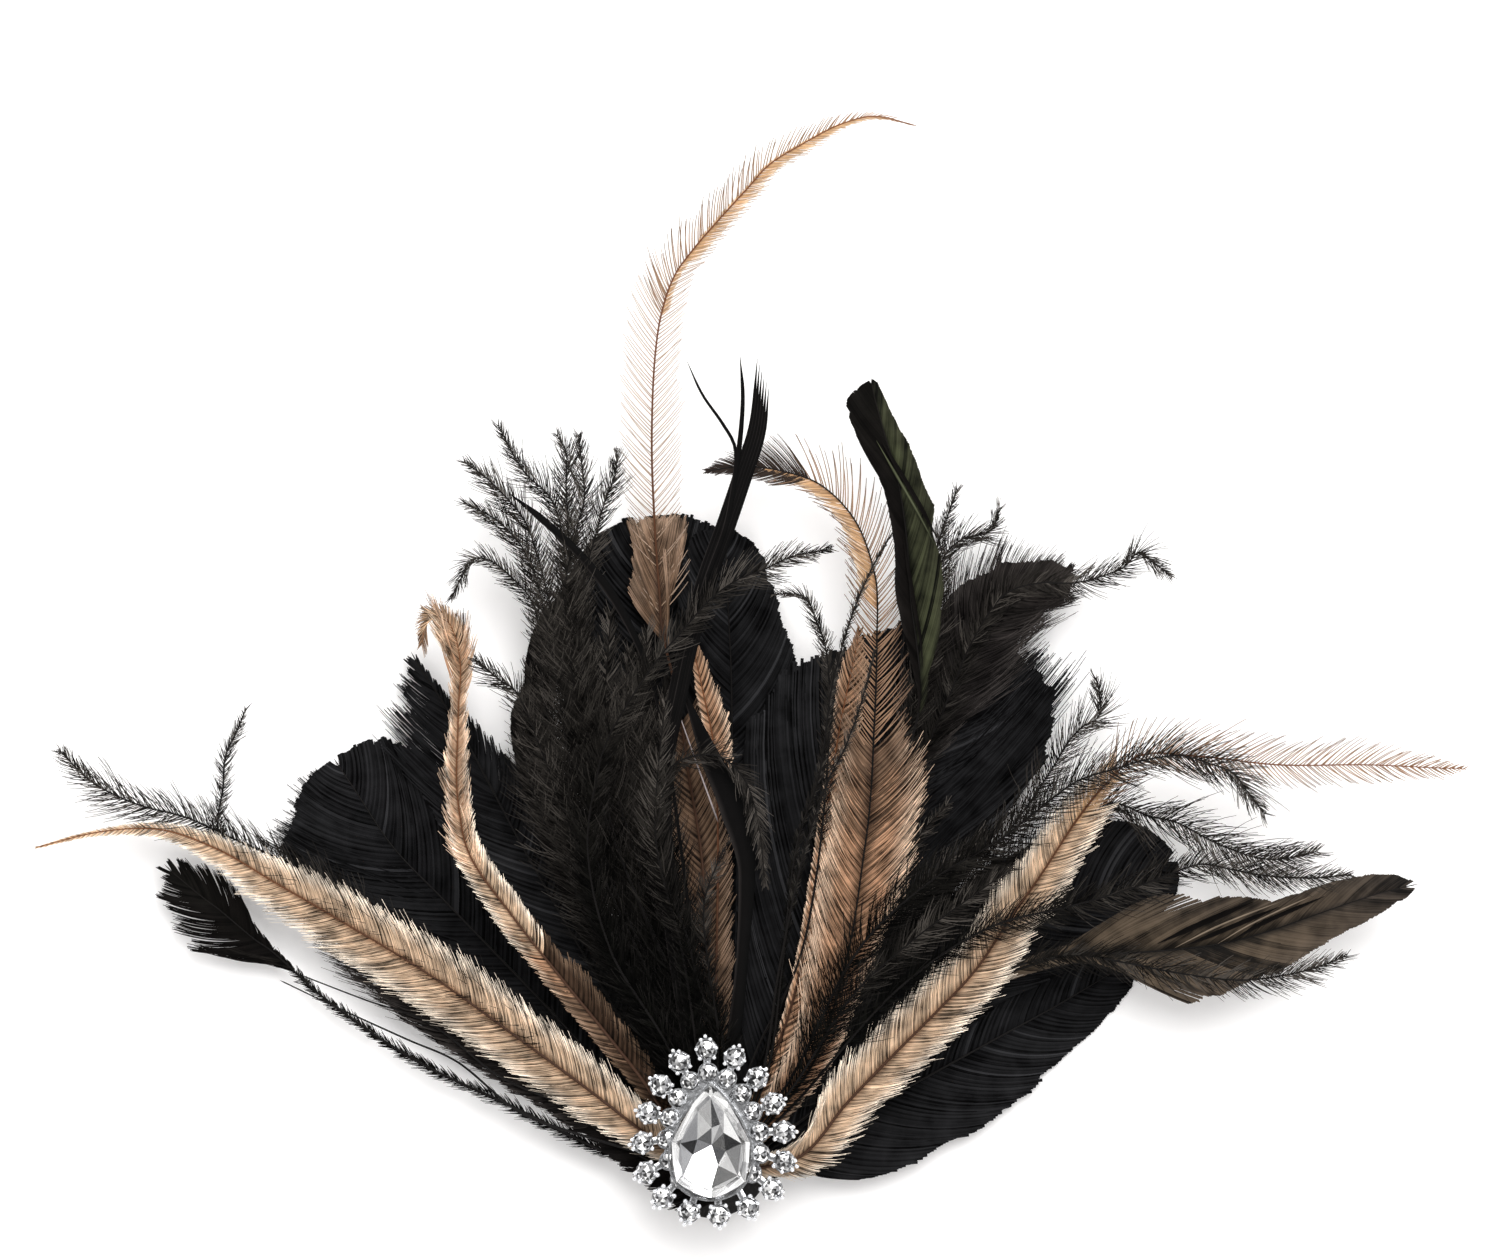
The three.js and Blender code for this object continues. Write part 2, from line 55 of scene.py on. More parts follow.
# %% [markdown]
# ## Camera, table and lamp
#
# The picture is 1500 by 1259 pixels, and the pear stone's width gives 0.22 mm to a pixel. The camera hangs
# straight above the middle of the picture with a long lens, so that near and far layers keep their size.
# The table is a plain white plane with a faint glow, as a light table has. A large soft lamp stands beyond
# the top of the picture, so the shadows fall downward and a little to the left.

# %% Camera, table and lamp
MM = 0.001
PIXEL = 0.22 * MM
PICTURE_WIDTH = 1500 * PIXEL
PICTURE_CENTRE = (8.58 * MM, 112.3 * MM)
CAMERA_HEIGHT = 4.0
SENSOR = 36.0
TABLE_SIDE = 4.0
LAMP_PLACE, LAMP_TARGET = Vector((0.35, 0.95, 1.6)), Vector((0.0, 0.1, 0.0))
LAMP_WIDTH, LAMP_POWER = 1.5, 27


def new_material(name):
    """A new material, its node tree and its shader."""
    material = bpy.data.materials.new(name)
    material.use_nodes = True
    return material, material.node_tree, material.node_tree.nodes["Principled BSDF"]


def set_inputs(node, values):
    """Sets named sockets of a node to plain values."""
    for socket, value in values.items():
        node.inputs[socket].default_value = value


lens = bpy.data.cameras.new("overhead_camera")
lens.sensor_width = SENSOR
lens.lens = SENSOR * CAMERA_HEIGHT / PICTURE_WIDTH
lens.clip_end = 2.5 * CAMERA_HEIGHT
camera = bpy.data.objects.new("overhead_camera", lens)
camera.location = (*PICTURE_CENTRE, CAMERA_HEIGHT)
bpy.context.scene.collection.objects.link(camera)
bpy.context.scene.camera = camera

bpy.ops.mesh.primitive_plane_add(size=TABLE_SIDE, location=(0, 0, 0))
table = bpy.context.object
table.name = "table_top"
table_white, _, table_shader = new_material("table_white")
set_inputs(table_shader, {
    "Base Color": (0.96, 0.95, 0.945, 1), "Roughness": 0.9, "Specular IOR Level": 0.1,
    "Emission Color": (1, 0.985, 0.975, 1), "Emission Strength": 0.12})
table.data.materials.append(table_white)

lamp_data = bpy.data.lights.new("soft_lamp", "AREA")
lamp_data.shape = "DISK"
lamp_data.size = LAMP_WIDTH
lamp_data.energy = LAMP_POWER
lamp = bpy.data.objects.new("soft_lamp", lamp_data)
lamp.location = LAMP_PLACE
lamp.rotation_euler = (LAMP_TARGET - LAMP_PLACE).to_track_quat("-Z", "Y").to_euler()
bpy.context.scene.collection.objects.link(lamp)
print("lens:", round(lens.lens), "mm, picture width:", round(PICTURE_WIDTH / MM), "mm")

# %% [markdown]
# ## The studio sky
#
# Silver and cut stones show what is around them, and under a plain sky they would be flat grey. So this sky
# has soft dim and bright patches for them to reflect. Straight overhead it is dark, which keeps the flat
# black feathers black.

# %% The studio sky
SKY_PATCHES = 2.3
SKY_DIM, SKY_BRIGHT = (0.44, (0.3, 0.3, 0.31, 1)), (0.56, (1.0, 0.99, 0.98, 1))
sky = bpy.data.worlds.new("studio_sky")
sky.use_nodes = True
bpy.context.scene.world = sky
bpy.context.scene.view_settings.view_transform = "Standard"
sky_nodes, sky_links = sky.node_tree.nodes, sky.node_tree.links
sky_direction = sky_nodes.new("ShaderNodeTexCoord")
sky_patches = sky_nodes.new("ShaderNodeTexNoise")
set_inputs(sky_patches, {"Scale": SKY_PATCHES, "Detail": 0.0})
sky_steps = sky_nodes.new("ShaderNodeValToRGB")
for stop, (position, colour) in zip(sky_steps.color_ramp.elements, (SKY_DIM, SKY_BRIGHT)):
    stop.position = position
    stop.color = colour
sky_axes = sky_nodes.new("ShaderNodeSeparateXYZ")
sky_zenith = sky_nodes.new("ShaderNodeMapRange")
set_inputs(sky_zenith, {"From Min": 0.84, "From Max": 0.95, "To Min": 1.5, "To Max": 0.1})
sky_links.new(sky_direction.outputs["Generated"], sky_patches.inputs["Vector"])
sky_links.new(sky_direction.outputs["Generated"], sky_axes.inputs["Vector"])
sky_links.new(sky_axes.outputs["Z"], sky_zenith.inputs["Value"])
sky_links.new(sky_patches.outputs["Fac"], sky_steps.inputs["Fac"])
sky_links.new(sky_steps.outputs["Color"], sky_nodes["Background"].inputs["Color"])
sky_links.new(sky_zenith.outputs["Result"], sky_nodes["Background"].inputs["Strength"])
print("sky nodes:", len(sky_nodes))

# %% [markdown]
# ## The tint of a barb
#
# A barb changes colour from the shaft to its tip, and a feather changes along its length. Both run in the
# UV map that the barbs get below: U goes along the barb, V along the feather. Every barb also carries a
# random number called lot, which makes it lighter or darker than its neighbours. One node group turns these
# into a colour, a roughness and a fine relief, so that each kind of feather only gives it other colours.

# %% The tint of a barb
SHAFT_SHARE, TIP_FROM = 0.25, 0.4
MOTTLE_SCALE, MOTTLE_DULLING = 220.0, 0.3
DARKEST_BARB = 0.1
BARBULE_TURN = 260.0


def noise_on(tree, scale):
    """A fine noise that is fixed to the piece, for a node tree."""
    place = tree.nodes.new("ShaderNodeTexCoord")
    noise = tree.nodes.new("ShaderNodeTexNoise")
    set_inputs(noise, {"Scale": scale})
    tree.links.new(place.outputs["Object"], noise.inputs["Vector"])
    return noise.outputs["Fac"]


def barb_tint_group():
    """U and V of the barbs, their lot and a little noise, turned into colour, roughness and relief."""
    group = bpy.data.node_groups.new("barb_tint", "ShaderNodeTree")
    for name in ("Shaft", "Body", "Tip", "Far"):
        group.interface.new_socket(name, in_out="INPUT", socket_type="NodeSocketColor")
    for name in ("Far Start", "Unevenness", "Dryness"):
        group.interface.new_socket(name, in_out="INPUT", socket_type="NodeSocketFloat")
    group.interface.new_socket("Color", in_out="OUTPUT", socket_type="NodeSocketColor")
    for name in ("Roughness", "Relief"):
        group.interface.new_socket(name, in_out="OUTPUT", socket_type="NodeSocketFloat")
    nodes, links = group.nodes, group.links
    given = nodes.new("NodeGroupInput")
    result = nodes.new("NodeGroupOutput")
    uv = nodes.new("ShaderNodeUVMap")
    uv.uv_map = "barbs"
    split = nodes.new("ShaderNodeSeparateXYZ")
    links.new(uv.outputs["UV"], split.inputs["Vector"])
    lot = nodes.new("ShaderNodeAttribute")
    lot.attribute_name = "lot"

    def ramp(value, low, high):
        node = nodes.new("ShaderNodeMapRange")
        node.interpolation_type = "SMOOTHSTEP"
        set_inputs(node, {"From Min": low, "From Max": high})
        links.new(value, node.inputs["Value"])
        return node

    def mix(factor, first, second):
        node = nodes.new("ShaderNodeMix")
        node.data_type = "RGBA"
        links.new(factor, node.inputs["Factor"])
        links.new(first, node.inputs["A"])
        links.new(second, node.inputs["B"])
        return node.outputs["Result"]

    def math_node(operation, first, second):
        node = nodes.new("ShaderNodeMath")
        node.operation = operation
        for socket, value in zip(node.inputs, (first, second)):
            if isinstance(value, float):
                socket.default_value = value
            else:
                links.new(value, socket)
        return node.outputs["Value"]

    near_shaft = ramp(split.outputs["X"], 0.0, SHAFT_SHARE).outputs["Result"]
    near_tip = ramp(split.outputs["X"], TIP_FROM, 1.0).outputs["Result"]
    far = ramp(split.outputs["Y"], 0.0, 1.0)
    links.new(given.outputs["Far Start"], far.inputs["From Min"])
    colour = mix(near_shaft, given.outputs["Shaft"], given.outputs["Body"])
    colour = mix(near_tip, colour, given.outputs["Tip"])
    colour = mix(far.outputs["Result"], colour, given.outputs["Far"])
    mottle = noise_on(group, MOTTLE_SCALE)
    swing = math_node("ADD", lot.outputs["Fac"], mottle)
    swing = math_node("SUBTRACT", swing, 1.0)
    swing = math_node("MULTIPLY", swing, given.outputs["Unevenness"])
    bright = math_node("MAXIMUM", math_node("ADD", swing, 1.0), DARKEST_BARB)
    scaled = nodes.new("ShaderNodeVectorMath")
    scaled.operation = "SCALE"
    links.new(colour, scaled.inputs["Vector"])
    links.new(bright, scaled.inputs["Scale"])
    links.new(scaled.outputs["Vector"], result.inputs["Color"])
    dry = math_node("MULTIPLY", mottle, MOTTLE_DULLING)
    links.new(math_node("ADD", given.outputs["Dryness"], dry), result.inputs["Roughness"])
    barbules = math_node("MULTIPLY", split.outputs["X"], BARBULE_TURN)
    links.new(math_node("SINE", barbules, 0.0), result.inputs["Relief"])
    return group


BARB_TINT = barb_tint_group()
print("barb tint nodes:", len(BARB_TINT.nodes))

# %% [markdown]
# ## Feather finishes
#
# A finish gives four colours as they look on a screen: beside the shaft, in the body of a barb, at its tip,
# and at the far end of the feather. Unevenness says how much the lots show. The black feathers differ mostly
# in gloss, and the tan ones have dark shafts and cream tips. Some finishes are painted light: umber is
# mostly painted shade, the gleams are painted highlights beside a fold, and the rib and the light edge of a
# biot are painted highlights too.

# %% Feather finishes
RELIEF_STRENGTH, RELIEF_DEPTH = 0.15, 0.05 * MM


def linear(red, green, blue):
    """A colour given as 0 to 255 screen values, as the linear colour that shaders use."""
    share = [value / 255 for value in (red, green, blue)]
    return tuple([v / 12.92 if v < 0.04 else ((v + 0.055) / 1.055) ** 2.4 for v in share] + [1.0])


def add_relief(tree, shader, height, strength, depth):
    """Makes a surface look raised by a height, which counts as so many metres deep."""
    bump = tree.nodes.new("ShaderNodeBump")
    set_inputs(bump, {"Strength": strength, "Distance": depth})
    tree.links.new(height, bump.inputs["Height"])
    tree.links.new(bump.outputs["Normal"], shader.inputs["Normal"])


def barb_material(name, shaft, body, tip, far, far_start=0.8, unevenness=0.5, dryness=0.45, gloss=0.35):
    """A finish made of the barb tint, with its own colours, under a faint relief of barbules."""
    material, tree, shader = new_material(name)
    tint = tree.nodes.new("ShaderNodeGroup")
    tint.node_tree = BARB_TINT
    set_inputs(tint, {
        "Shaft": linear(*shaft), "Body": linear(*body), "Tip": linear(*tip), "Far": linear(*far),
        "Far Start": far_start, "Unevenness": unevenness, "Dryness": dryness})
    tree.links.new(tint.outputs["Color"], shader.inputs["Base Color"])
    tree.links.new(tint.outputs["Roughness"], shader.inputs["Roughness"])
    add_relief(tree, shader, tint.outputs["Relief"], RELIEF_STRENGTH, RELIEF_DEPTH)
    set_inputs(shader, {"Specular IOR Level": gloss})
    return material


FINISH = {
    "goose": barb_material("goose_black", (16, 16, 17), (22, 22, 23), (25, 25, 26), (25, 25, 26),
                           unevenness=2.1, gloss=0.015),
    "ostrich": barb_material("ostrich_black", (4, 4, 3), (5, 5, 4), (14, 13, 12), (45, 42, 39),
                             far_start=0.34, unevenness=2.2, gloss=0.03),
    "down": barb_material("grey_down", (17, 16, 15), (33, 30, 29), (58, 54, 52), (48, 44, 42),
                          unevenness=1.9, gloss=0.03),
    "tan": barb_material("tan_plume", (128, 98, 74), (184, 158, 132), (238, 224, 206), (190, 158, 126),
                         far_start=0.8, unevenness=2.1, dryness=0.6, gloss=0.08),
    "fawn": barb_material("fawn_plume", (90, 67, 50), (146, 112, 87), (206, 180, 156), (138, 106, 82),
                          far_start=0.75, unevenness=2.4, dryness=0.6, gloss=0.08),
    "brown": barb_material("brown_plume", (62, 46, 36), (98, 77, 61), (140, 116, 97), (116, 92, 73),
                           unevenness=1.8, dryness=0.6, gloss=0.08),
    # Umber is painted shade: the dark rows under the plumes, and the darker lower part of the curled plume.
    "umber": barb_material("umber_and_shade_plume", (34, 25, 19), (52, 39, 30), (96, 78, 63), (84, 66, 52),
                           unevenness=1.6, dryness=0.7, gloss=0.04),
    "pale": barb_material("pale_plume", (150, 122, 100), (166, 142, 122), (158, 138, 122), (176, 146, 118),
                          unevenness=0.4, dryness=0.6, gloss=0.08),
    "straw": barb_material("straw_plume", (120, 92, 70), (144, 115, 92), (106, 86, 72), (146, 116, 92),
                           unevenness=0.5, dryness=0.6, gloss=0.08),
    "orange": barb_material("orange_plume", (140, 104, 74), (190, 152, 114), (216, 188, 156), (136, 106, 84),
                            far_start=0.93, unevenness=0.8, dryness=0.55, gloss=0.08),
    "sooty": barb_material("sooty_plume", (40, 32, 27), (56, 46, 39), (96, 82, 72), (46, 38, 34),
                           unevenness=0.6, dryness=0.55, gloss=0.08),
    "green": barb_material("coque_green", (18, 19, 12), (43, 45, 31), (38, 39, 28), (22, 22, 18),
                           far_start=0.9, unevenness=2.4, dryness=0.3, gloss=0.05),
    "bronze": barb_material("coque_bronze", (28, 24, 19), (70, 60, 49), (68, 59, 50), (42, 37, 33),
                            far_start=0.72, unevenness=2.4, dryness=0.3, gloss=0.08),
    # The gleam and the green highlight finishes are painted highlights, light strips beside a fold.
    "gleam": barb_material("bronze_gleam", (74, 65, 55), (136, 121, 104), (74, 65, 55), (84, 74, 63),
                           unevenness=0.8, dryness=0.3, gloss=0.08),
    "painted_green_highlight": barb_material("green_gleam", (40, 42, 30), (74, 78, 58), (40, 42, 30), (46, 49, 36),
                          unevenness=0.8, dryness=0.3, gloss=0.05),
    "coque": barb_material("coque_black", (9, 8, 7), (14, 12, 11), (20, 18, 17), (18, 17, 15),
                           unevenness=1.3, dryness=0.35, gloss=0.02),
    # The lighter shaft colour of a biot falls on each strap's left edge, a painted highlight.
    "biot": barb_material("biot_black", (40, 37, 36), (14, 13, 13), (10, 10, 10), (13, 12, 12),
                          far_start=0.95, unevenness=0.5, dryness=0.35, gloss=0.025),
    # The rib finish is a painted highlight: a thin pale line along the left edge of the blade.
    "rib": barb_material("painted_edge_highlight", (150, 140, 140), (150, 140, 140), (150, 140, 140), (96, 90, 90),
                         unevenness=0.3, dryness=0.3, gloss=0.2),
    "quill": barb_material("brown_quill", (66, 44, 31), (66, 44, 31), (66, 44, 31), (118, 72, 44),
                           far_start=0.3, unevenness=0.3, dryness=0.3, gloss=0.15),
    "dark_quill": barb_material("dark_quill", (16, 14, 13), (16, 14, 13), (16, 14, 13), (22, 19, 17),
                                unevenness=0.3, dryness=0.3, gloss=0.1),
}
print("feather finishes:", ", ".join(FINISH))

# %% [markdown]
# ## Shaft lines and layers
#
# A feather is drawn by a few points along its shaft, in millimetres from the middle of the brooch. A smooth
# line through them is walked by its length, so that barbs can be spread evenly. The height comes from the
# layer: the layers share one apex under the brooch, the lowest droops to the table, and each higher one
# lies a pitch above it, as the solids do.

# %% Shaft lines and layers
APEX_Y = -8.0
LAYER_BASE, LAYER_REST = 5.94, 0.26
DROOP_FROM, DROOP_LENGTH = 22.0, 80.0
LAYER_PITCH, LAYER_LIFT, LIFT_FROM = 0.78, 0.015, 30.0
LINE_STEPS = 40
HEADING_STEP = 0.4


def smooth_step(value):
    """Rises softly from 0 to 1 as the value does."""
    share = np.clip(value, 0, 1)
    return share * share * (3 - 2 * share)


def layer_height(layer, x, y):
    """The height of a layer over the table."""
    reach = np.hypot(x, y - APEX_Y)
    ground = LAYER_BASE + (LAYER_REST - LAYER_BASE) * smooth_step((reach - DROOP_FROM) / DROOP_LENGTH)
    return ground + layer * (LAYER_PITCH + LAYER_LIFT * np.maximum(0, reach - LIFT_FROM))


def smooth_line(points):
    """A smooth line through the points as closely spaced places, and the length walked to each of them."""
    knots = np.array(points, float)
    ends = np.vstack([2 * knots[0] - knots[1], knots, 2 * knots[-1] - knots[-2]])
    gaps = np.sqrt(np.linalg.norm(np.diff(ends, axis=0), axis=1))
    times = np.concatenate([[0], np.cumsum(gaps)])
    stretches = []
    for i in range(len(knots) - 1):
        at, when = ends[i:i + 4], times[i:i + 4]
        t = np.linspace(when[1], when[2], LINE_STEPS, endpoint=False)[:, None]

        def between(first, second, start, stop):
            return ((stop - t) * first + (t - start) * second) / (stop - start)

        lower = [between(at[j], at[j + 1], when[j], when[j + 1]) for j in range(3)]
        upper = [between(lower[j], lower[j + 1], when[j], when[j + 2]) for j in range(2)]
        stretches.append(between(upper[0], upper[1], when[1], when[2]))
    places = np.vstack(stretches + [knots[-1:]])
    steps = np.linalg.norm(np.diff(places, axis=0), axis=1)
    return places, np.concatenate([[0], np.cumsum(steps)])


def station_lengths(line):
    """The walked lengths at the points that the line was drawn through."""
    return line[1][::LINE_STEPS]


def on_line(line, walked):
    """Places on a line at the given walked lengths, and the headings there."""
    places, lengths = line

    def at(length):
        return np.stack([np.interp(length, lengths, places[:, axis]) for axis in (0, 1)], axis=-1)

    ahead = at(np.minimum(walked + HEADING_STEP, lengths[-1])) - at(np.maximum(walked - HEADING_STEP, 0))
    return at(walked), ahead / np.linalg.norm(ahead, axis=-1, keepdims=True)


def leftward(headings):
    """The directions a quarter turn to the left of the headings."""
    return np.stack([-headings[..., 1], headings[..., 0]], axis=-1)


print("layer heights over the pad:", [round(float(layer_height(k, 0, 0)), 2) for k in (0, 5, 10)], "mm")

# %% [markdown]
# ## Looks of barbs
#
# Goose, cock, ostrich and plume barbs differ in how near they stand, how they lean and how they hold
# together. A look keeps these as named values. Barbs of one streak share most of their lot, so that lighter
# and darker lines run out from the shaft. A comb makes the streaks take turns lighter and darker, which on
# the goose vanes are painted highlights along the barbs, and a glint paints a few of them bright, a painted
# highlight.

# %% Looks of barbs
@dataclass
class Look:
    """How a row of barbs is set. Lengths are in millimetres and angles in degrees."""
    spacing: float  # from barb to barb
    width: float  # of a barb at the shaft
    tip: float  # share of the width that is left at the tip
    angle: tuple  # between barb and shaft, at the shaft and at the tip
    jitter: float  # random turn of a barb
    close: float  # share of the angle that is left at the feather's end
    lock: float  # length of shaft whose barbs hold together
    pull: float  # how far they lean to the middle of their lock
    ragged: float  # random share of the length
    arch: float  # rise of the vane beside the shaft
    sway: float = 0.1  # random shift of a lock's tips
    roll: float = 0.0  # random turn out of the vane
    roof: float = 0.0  # height of the ridge on a barb, which catches the light as a fine line
    steps: int = 6  # faces along a barb
    streak: float = 1.0  # length of shaft whose barbs share their lot
    comb: float = 0.0  # share of the lot that takes turns from streak to streak
    # A glint paints the chosen streaks bright, a painted highlight.
    glint: float = 0.0  # share of the streaks that shine
    lift: float = 0.0  # height over the layer


LOOKS = {
    # The comb and glint of the goose look paint fine highlights along the barbs.
    "goose": Look(
        spacing=0.26, width=0.5, tip=1.4, angle=(48, 18), jitter=0.2, close=0.85, lock=6.0, pull=0.03,
        ragged=0.02, arch=0.9, sway=0.16, roof=0.09, steps=8, streak=0.75, comb=0.5, glint=0.03),
    "frayed": Look(
        spacing=0.18, width=0.3, tip=0.45, angle=(32, 14), jitter=0.8, close=0.85, lock=1.5, pull=0.7,
        ragged=0.09, arch=0.5, sway=0.2, roll=1, roof=0.05, steps=8, streak=0.8),
    "plume": Look(
        spacing=0.26, width=0.2, tip=0.45, angle=(48, 30), jitter=0.5, close=0.6, lock=1.2, pull=0.2,
        ragged=0.09, arch=1.1, sway=0.05, roll=4, streak=0.6, comb=0.6),
    "hair": Look(
        spacing=0.26, width=0.22, tip=0.45, angle=(46, 28), jitter=0.8, close=0.6, lock=1.0, pull=0.25,
        ragged=0.08, arch=1.1, sway=0.05, roll=4, streak=0.85, comb=0.7),
    "fur": Look(
        spacing=0.18, width=0.22, tip=0.4, angle=(28, 12), jitter=3.0, close=0.6, lock=1.6, pull=0.3,
        ragged=0.14, arch=0.8, sway=0.15, roll=6, streak=1.5, comb=0.3),
    "fuzz": Look(
        spacing=0.4, width=0.11, tip=0.5, angle=(50, 26), jitter=2.5, close=0.6, lock=0.5, pull=0.3,
        ragged=0.1, arch=1.2, sway=0.15, roll=12, streak=0.5, lift=0.1),
    # The under look lays a dark row beneath a vane, whose barbs show between the locks as painted shade.
    "under": Look(
        spacing=0.4, width=0.6, tip=0.3, angle=(46, 34), jitter=1.5, close=0.6, lock=2.0, pull=0.2,
        ragged=0.1, arch=1.0, lift=-0.15),
    "wedge": Look(
        spacing=0.05, width=0.2, tip=0.5, angle=(26, 12), jitter=0.8, close=1.0, lock=0.8, pull=0.1,
        ragged=0.05, arch=0.5, roll=4, streak=0.15),
    "sparse": Look(
        spacing=0.95, width=0.2, tip=0.6, angle=(46, 36), jitter=1.5, close=0.6, lock=0.8, pull=0.1,
        ragged=0.08, arch=0.3, roll=6),
    "whisker": Look(
        spacing=0.8, width=0.26, tip=0.5, angle=(44, 32), jitter=2.5, close=0.7, lock=0.8, pull=0.1,
        ragged=0.12, arch=0.3, roll=6),
    "ostrich": Look(
        spacing=0.25, width=0.18, tip=0.45, angle=(50, 28), jitter=7.0, close=0.7, lock=1.1, pull=0.45,
        ragged=0.28, arch=0.0, sway=0.3, roll=28, steps=4, streak=0.9, glint=0.2),
    "down": Look(
        spacing=0.12, width=0.2, tip=0.4, angle=(50, 18), jitter=2.5, close=0.8, lock=1.4, pull=0.25,
        ragged=0.15, arch=0.4, sway=0.35, roll=8, streak=0.8),
    "coque": Look(
        spacing=0.2, width=0.34, tip=0.9, angle=(26, 14), jitter=0.2, close=0.9, lock=7.0, pull=0.04,
        ragged=0.015, arch=1.3, sway=0.2, roof=0.07, steps=7, streak=2.0),
    "bronze": Look(
        spacing=0.2, width=0.36, tip=0.9, angle=(32, 18), jitter=0.2, close=0.8, lock=8.0, pull=0.05,
        ragged=0.015, arch=1.3, sway=0.25, roof=0.09, steps=9, streak=2.6),
    "spade": Look(
        spacing=0.13, width=0.3, tip=0.4, angle=(50, 22), jitter=0.8, close=0.45, lock=1.9, pull=0.5,
        ragged=0.08, arch=0.8, sway=0.35, roll=2, roof=0.06, steps=8),
    "stub": Look(
        spacing=0.22, width=0.2, tip=0.3, angle=(40, 24), jitter=3.0, close=1.0, lock=1.2, pull=0.4,
        ragged=0.3, arch=0.0, sway=0.2, roll=20, steps=3),
}
print("looks of barbs:", ", ".join(LOOKS))

# %% [markdown]
# ## Barbs
#
# Thousands of barbs are too many to model one by one, so a row of them is made as an array of points. A barb
# leaves the shaft at an angle and bends towards the tip, and its length is worked out backwards from the
# feather's outline, so that the ends of all barbs draw it. The random numbers come from a seeded generator,
# so the feathers are the same in every run.

# %% Barbs
OUTLINE_SAMPLES = 800
BARB_PLAY, LOCK_BLUR = (0.1, 0.9), 0.4
CLOSING_FROM, CLOSING_LENGTH = 0.8, 0.2
LOCK_RAGGED, OWN_RAGGED = 0.6, 0.6
GATHER_POWER, TAPER_POWER = 1.6, 1.5
FULL_ARCH_REACH, ARCH_SCALE, ARCH_POWER = 8, 3, 1.5
SCATTER = 0.05
OWN_LOT, GLINT_LOT = 0.35, 2.2


def lock_centres(walked, look, rng):
    """The middle of the lock that each barb belongs to, and a random number shared by the lock."""
    lock = np.floor(walked / look.lock + rng.uniform(0, LOCK_BLUR, len(walked))).astype(int)
    lock -= lock.min()
    members = np.maximum(np.bincount(lock), 1)
    middle = np.bincount(lock, walked) / members
    return middle[lock], rng.normal(size=len(members))[lock]


def barb_reach(walked, line, widths, look):
    """How far barbs reach sideways from their start, so that their ends follow the outline's widths."""
    ends = np.linspace(0, line[1][-1], OUTLINE_SAMPLES)
    outline = np.interp(ends, station_lengths(line), widths)
    slant = 1 / math.tan(math.radians(np.mean(look.angle)))
    starts = np.maximum.accumulate(ends - outline * slant)
    return np.interp(walked, starts, outline)


def barb_lots(walked, length, look, rng):
    """The lots of barbs: a part of their own, and the greater part from the streak that they stand in."""
    streaks = rng.uniform(0, 1, int(length / look.streak) + 2)
    streaks = (1 - look.comb) * streaks + look.comb * (np.arange(len(streaks)) % 2)
    streaks[rng.uniform(0, 1, len(streaks)) < look.glint] = GLINT_LOT
    own = rng.uniform(0, 1, len(walked))
    return OWN_LOT * own + (1 - OWN_LOT) * streaks[(walked / look.streak).astype(int)]


def barb_strips(plan, height, u, look):
    """Barbs along their middle lines as strips, flat or with a ridge, that narrow to the tip."""
    run = np.gradient(plan, axis=1)
    run /= np.maximum(np.linalg.norm(run, axis=-1, keepdims=True), 1e-6)
    half = 0.5 * look.width * (1 - (1 - look.tip) * u ** TAPER_POWER)
    corners = []
    for offset in (1, 0, -1) if look.roof else (1, -1):
        flat = plan + leftward(run) * (offset * half)[None, :, None]
        lifted = height + (look.roof if offset == 0 else 0)
        corners.append(np.concatenate([flat, lifted[..., None]], axis=-1))
    return np.stack(corners, axis=2)


def barb_row(line, widths, span, side, look, layer, rng):
    """A row of barbs on one side of a shaft: a grid of points, the UV of each point, and the lots."""
    length = line[1][-1]
    first, last = span[0] * length, span[1] * length
    count = max(int((last - first) / look.spacing), 3)
    walked = first + (last - first) * (np.arange(count) + rng.uniform(*BARB_PLAY, count)) / count
    share = walked / length
    middle, shared = lock_centres(walked, look, rng)
    u = np.linspace(0, 1, look.steps + 1)
    opening = look.angle[0] + (look.angle[1] - look.angle[0]) * (u[:-1] + 0.5 / look.steps)
    narrowing = 1 - (1 - look.close) * smooth_step((share - CLOSING_FROM) / CLOSING_LENGTH)
    angle = np.radians(opening[None] * narrowing[:, None] + rng.normal(0, look.jitter, (count, 1)))
    reach = barb_reach(walked, line, widths, look)
    size = reach / np.sin(np.radians(np.mean(look.angle)))
    size = size * (1 + look.ragged * (LOCK_RAGGED * shared + rng.normal(0, OWN_RAGGED, count)))
    stride = (size / look.steps)[:, None]
    start = np.zeros((count, 1))
    along = np.hstack([start, np.cumsum(stride * np.cos(angle), axis=1)])
    across = np.hstack([start, np.cumsum(stride * np.sin(angle), axis=1)])
    gather = (middle - walked) * look.pull + look.sway * shared
    along += gather[:, None] * u[None] ** GATHER_POWER
    roll = np.radians(rng.normal(0, 1, (count, 1)) * look.roll)
    place, ahead = on_line(line, walked)
    outward = leftward(ahead) * side
    plan = place[:, None] + ahead[:, None] * along[..., None]
    plan = plan + outward[:, None] * (across * np.cos(roll))[..., None]
    height = layer_height(layer, plan[..., 0], plan[..., 1]) + across * np.abs(np.sin(roll))
    rise = look.arch * np.minimum(1, reach / FULL_ARCH_REACH)[:, None]
    height = height + rise * ARCH_SCALE * (u * (1 - u) ** ARCH_POWER)[None]
    height = height + rng.uniform(0, SCATTER, (count, 1)) + look.lift
    grid = barb_strips(plan, height, u, look)
    uv = np.empty(grid.shape[:3] + (2,))
    uv[..., 0] = u[None, :, None]
    uv[..., 1] = share[:, None, None]
    return grid, uv, barb_lots(walked, length, look, rng)


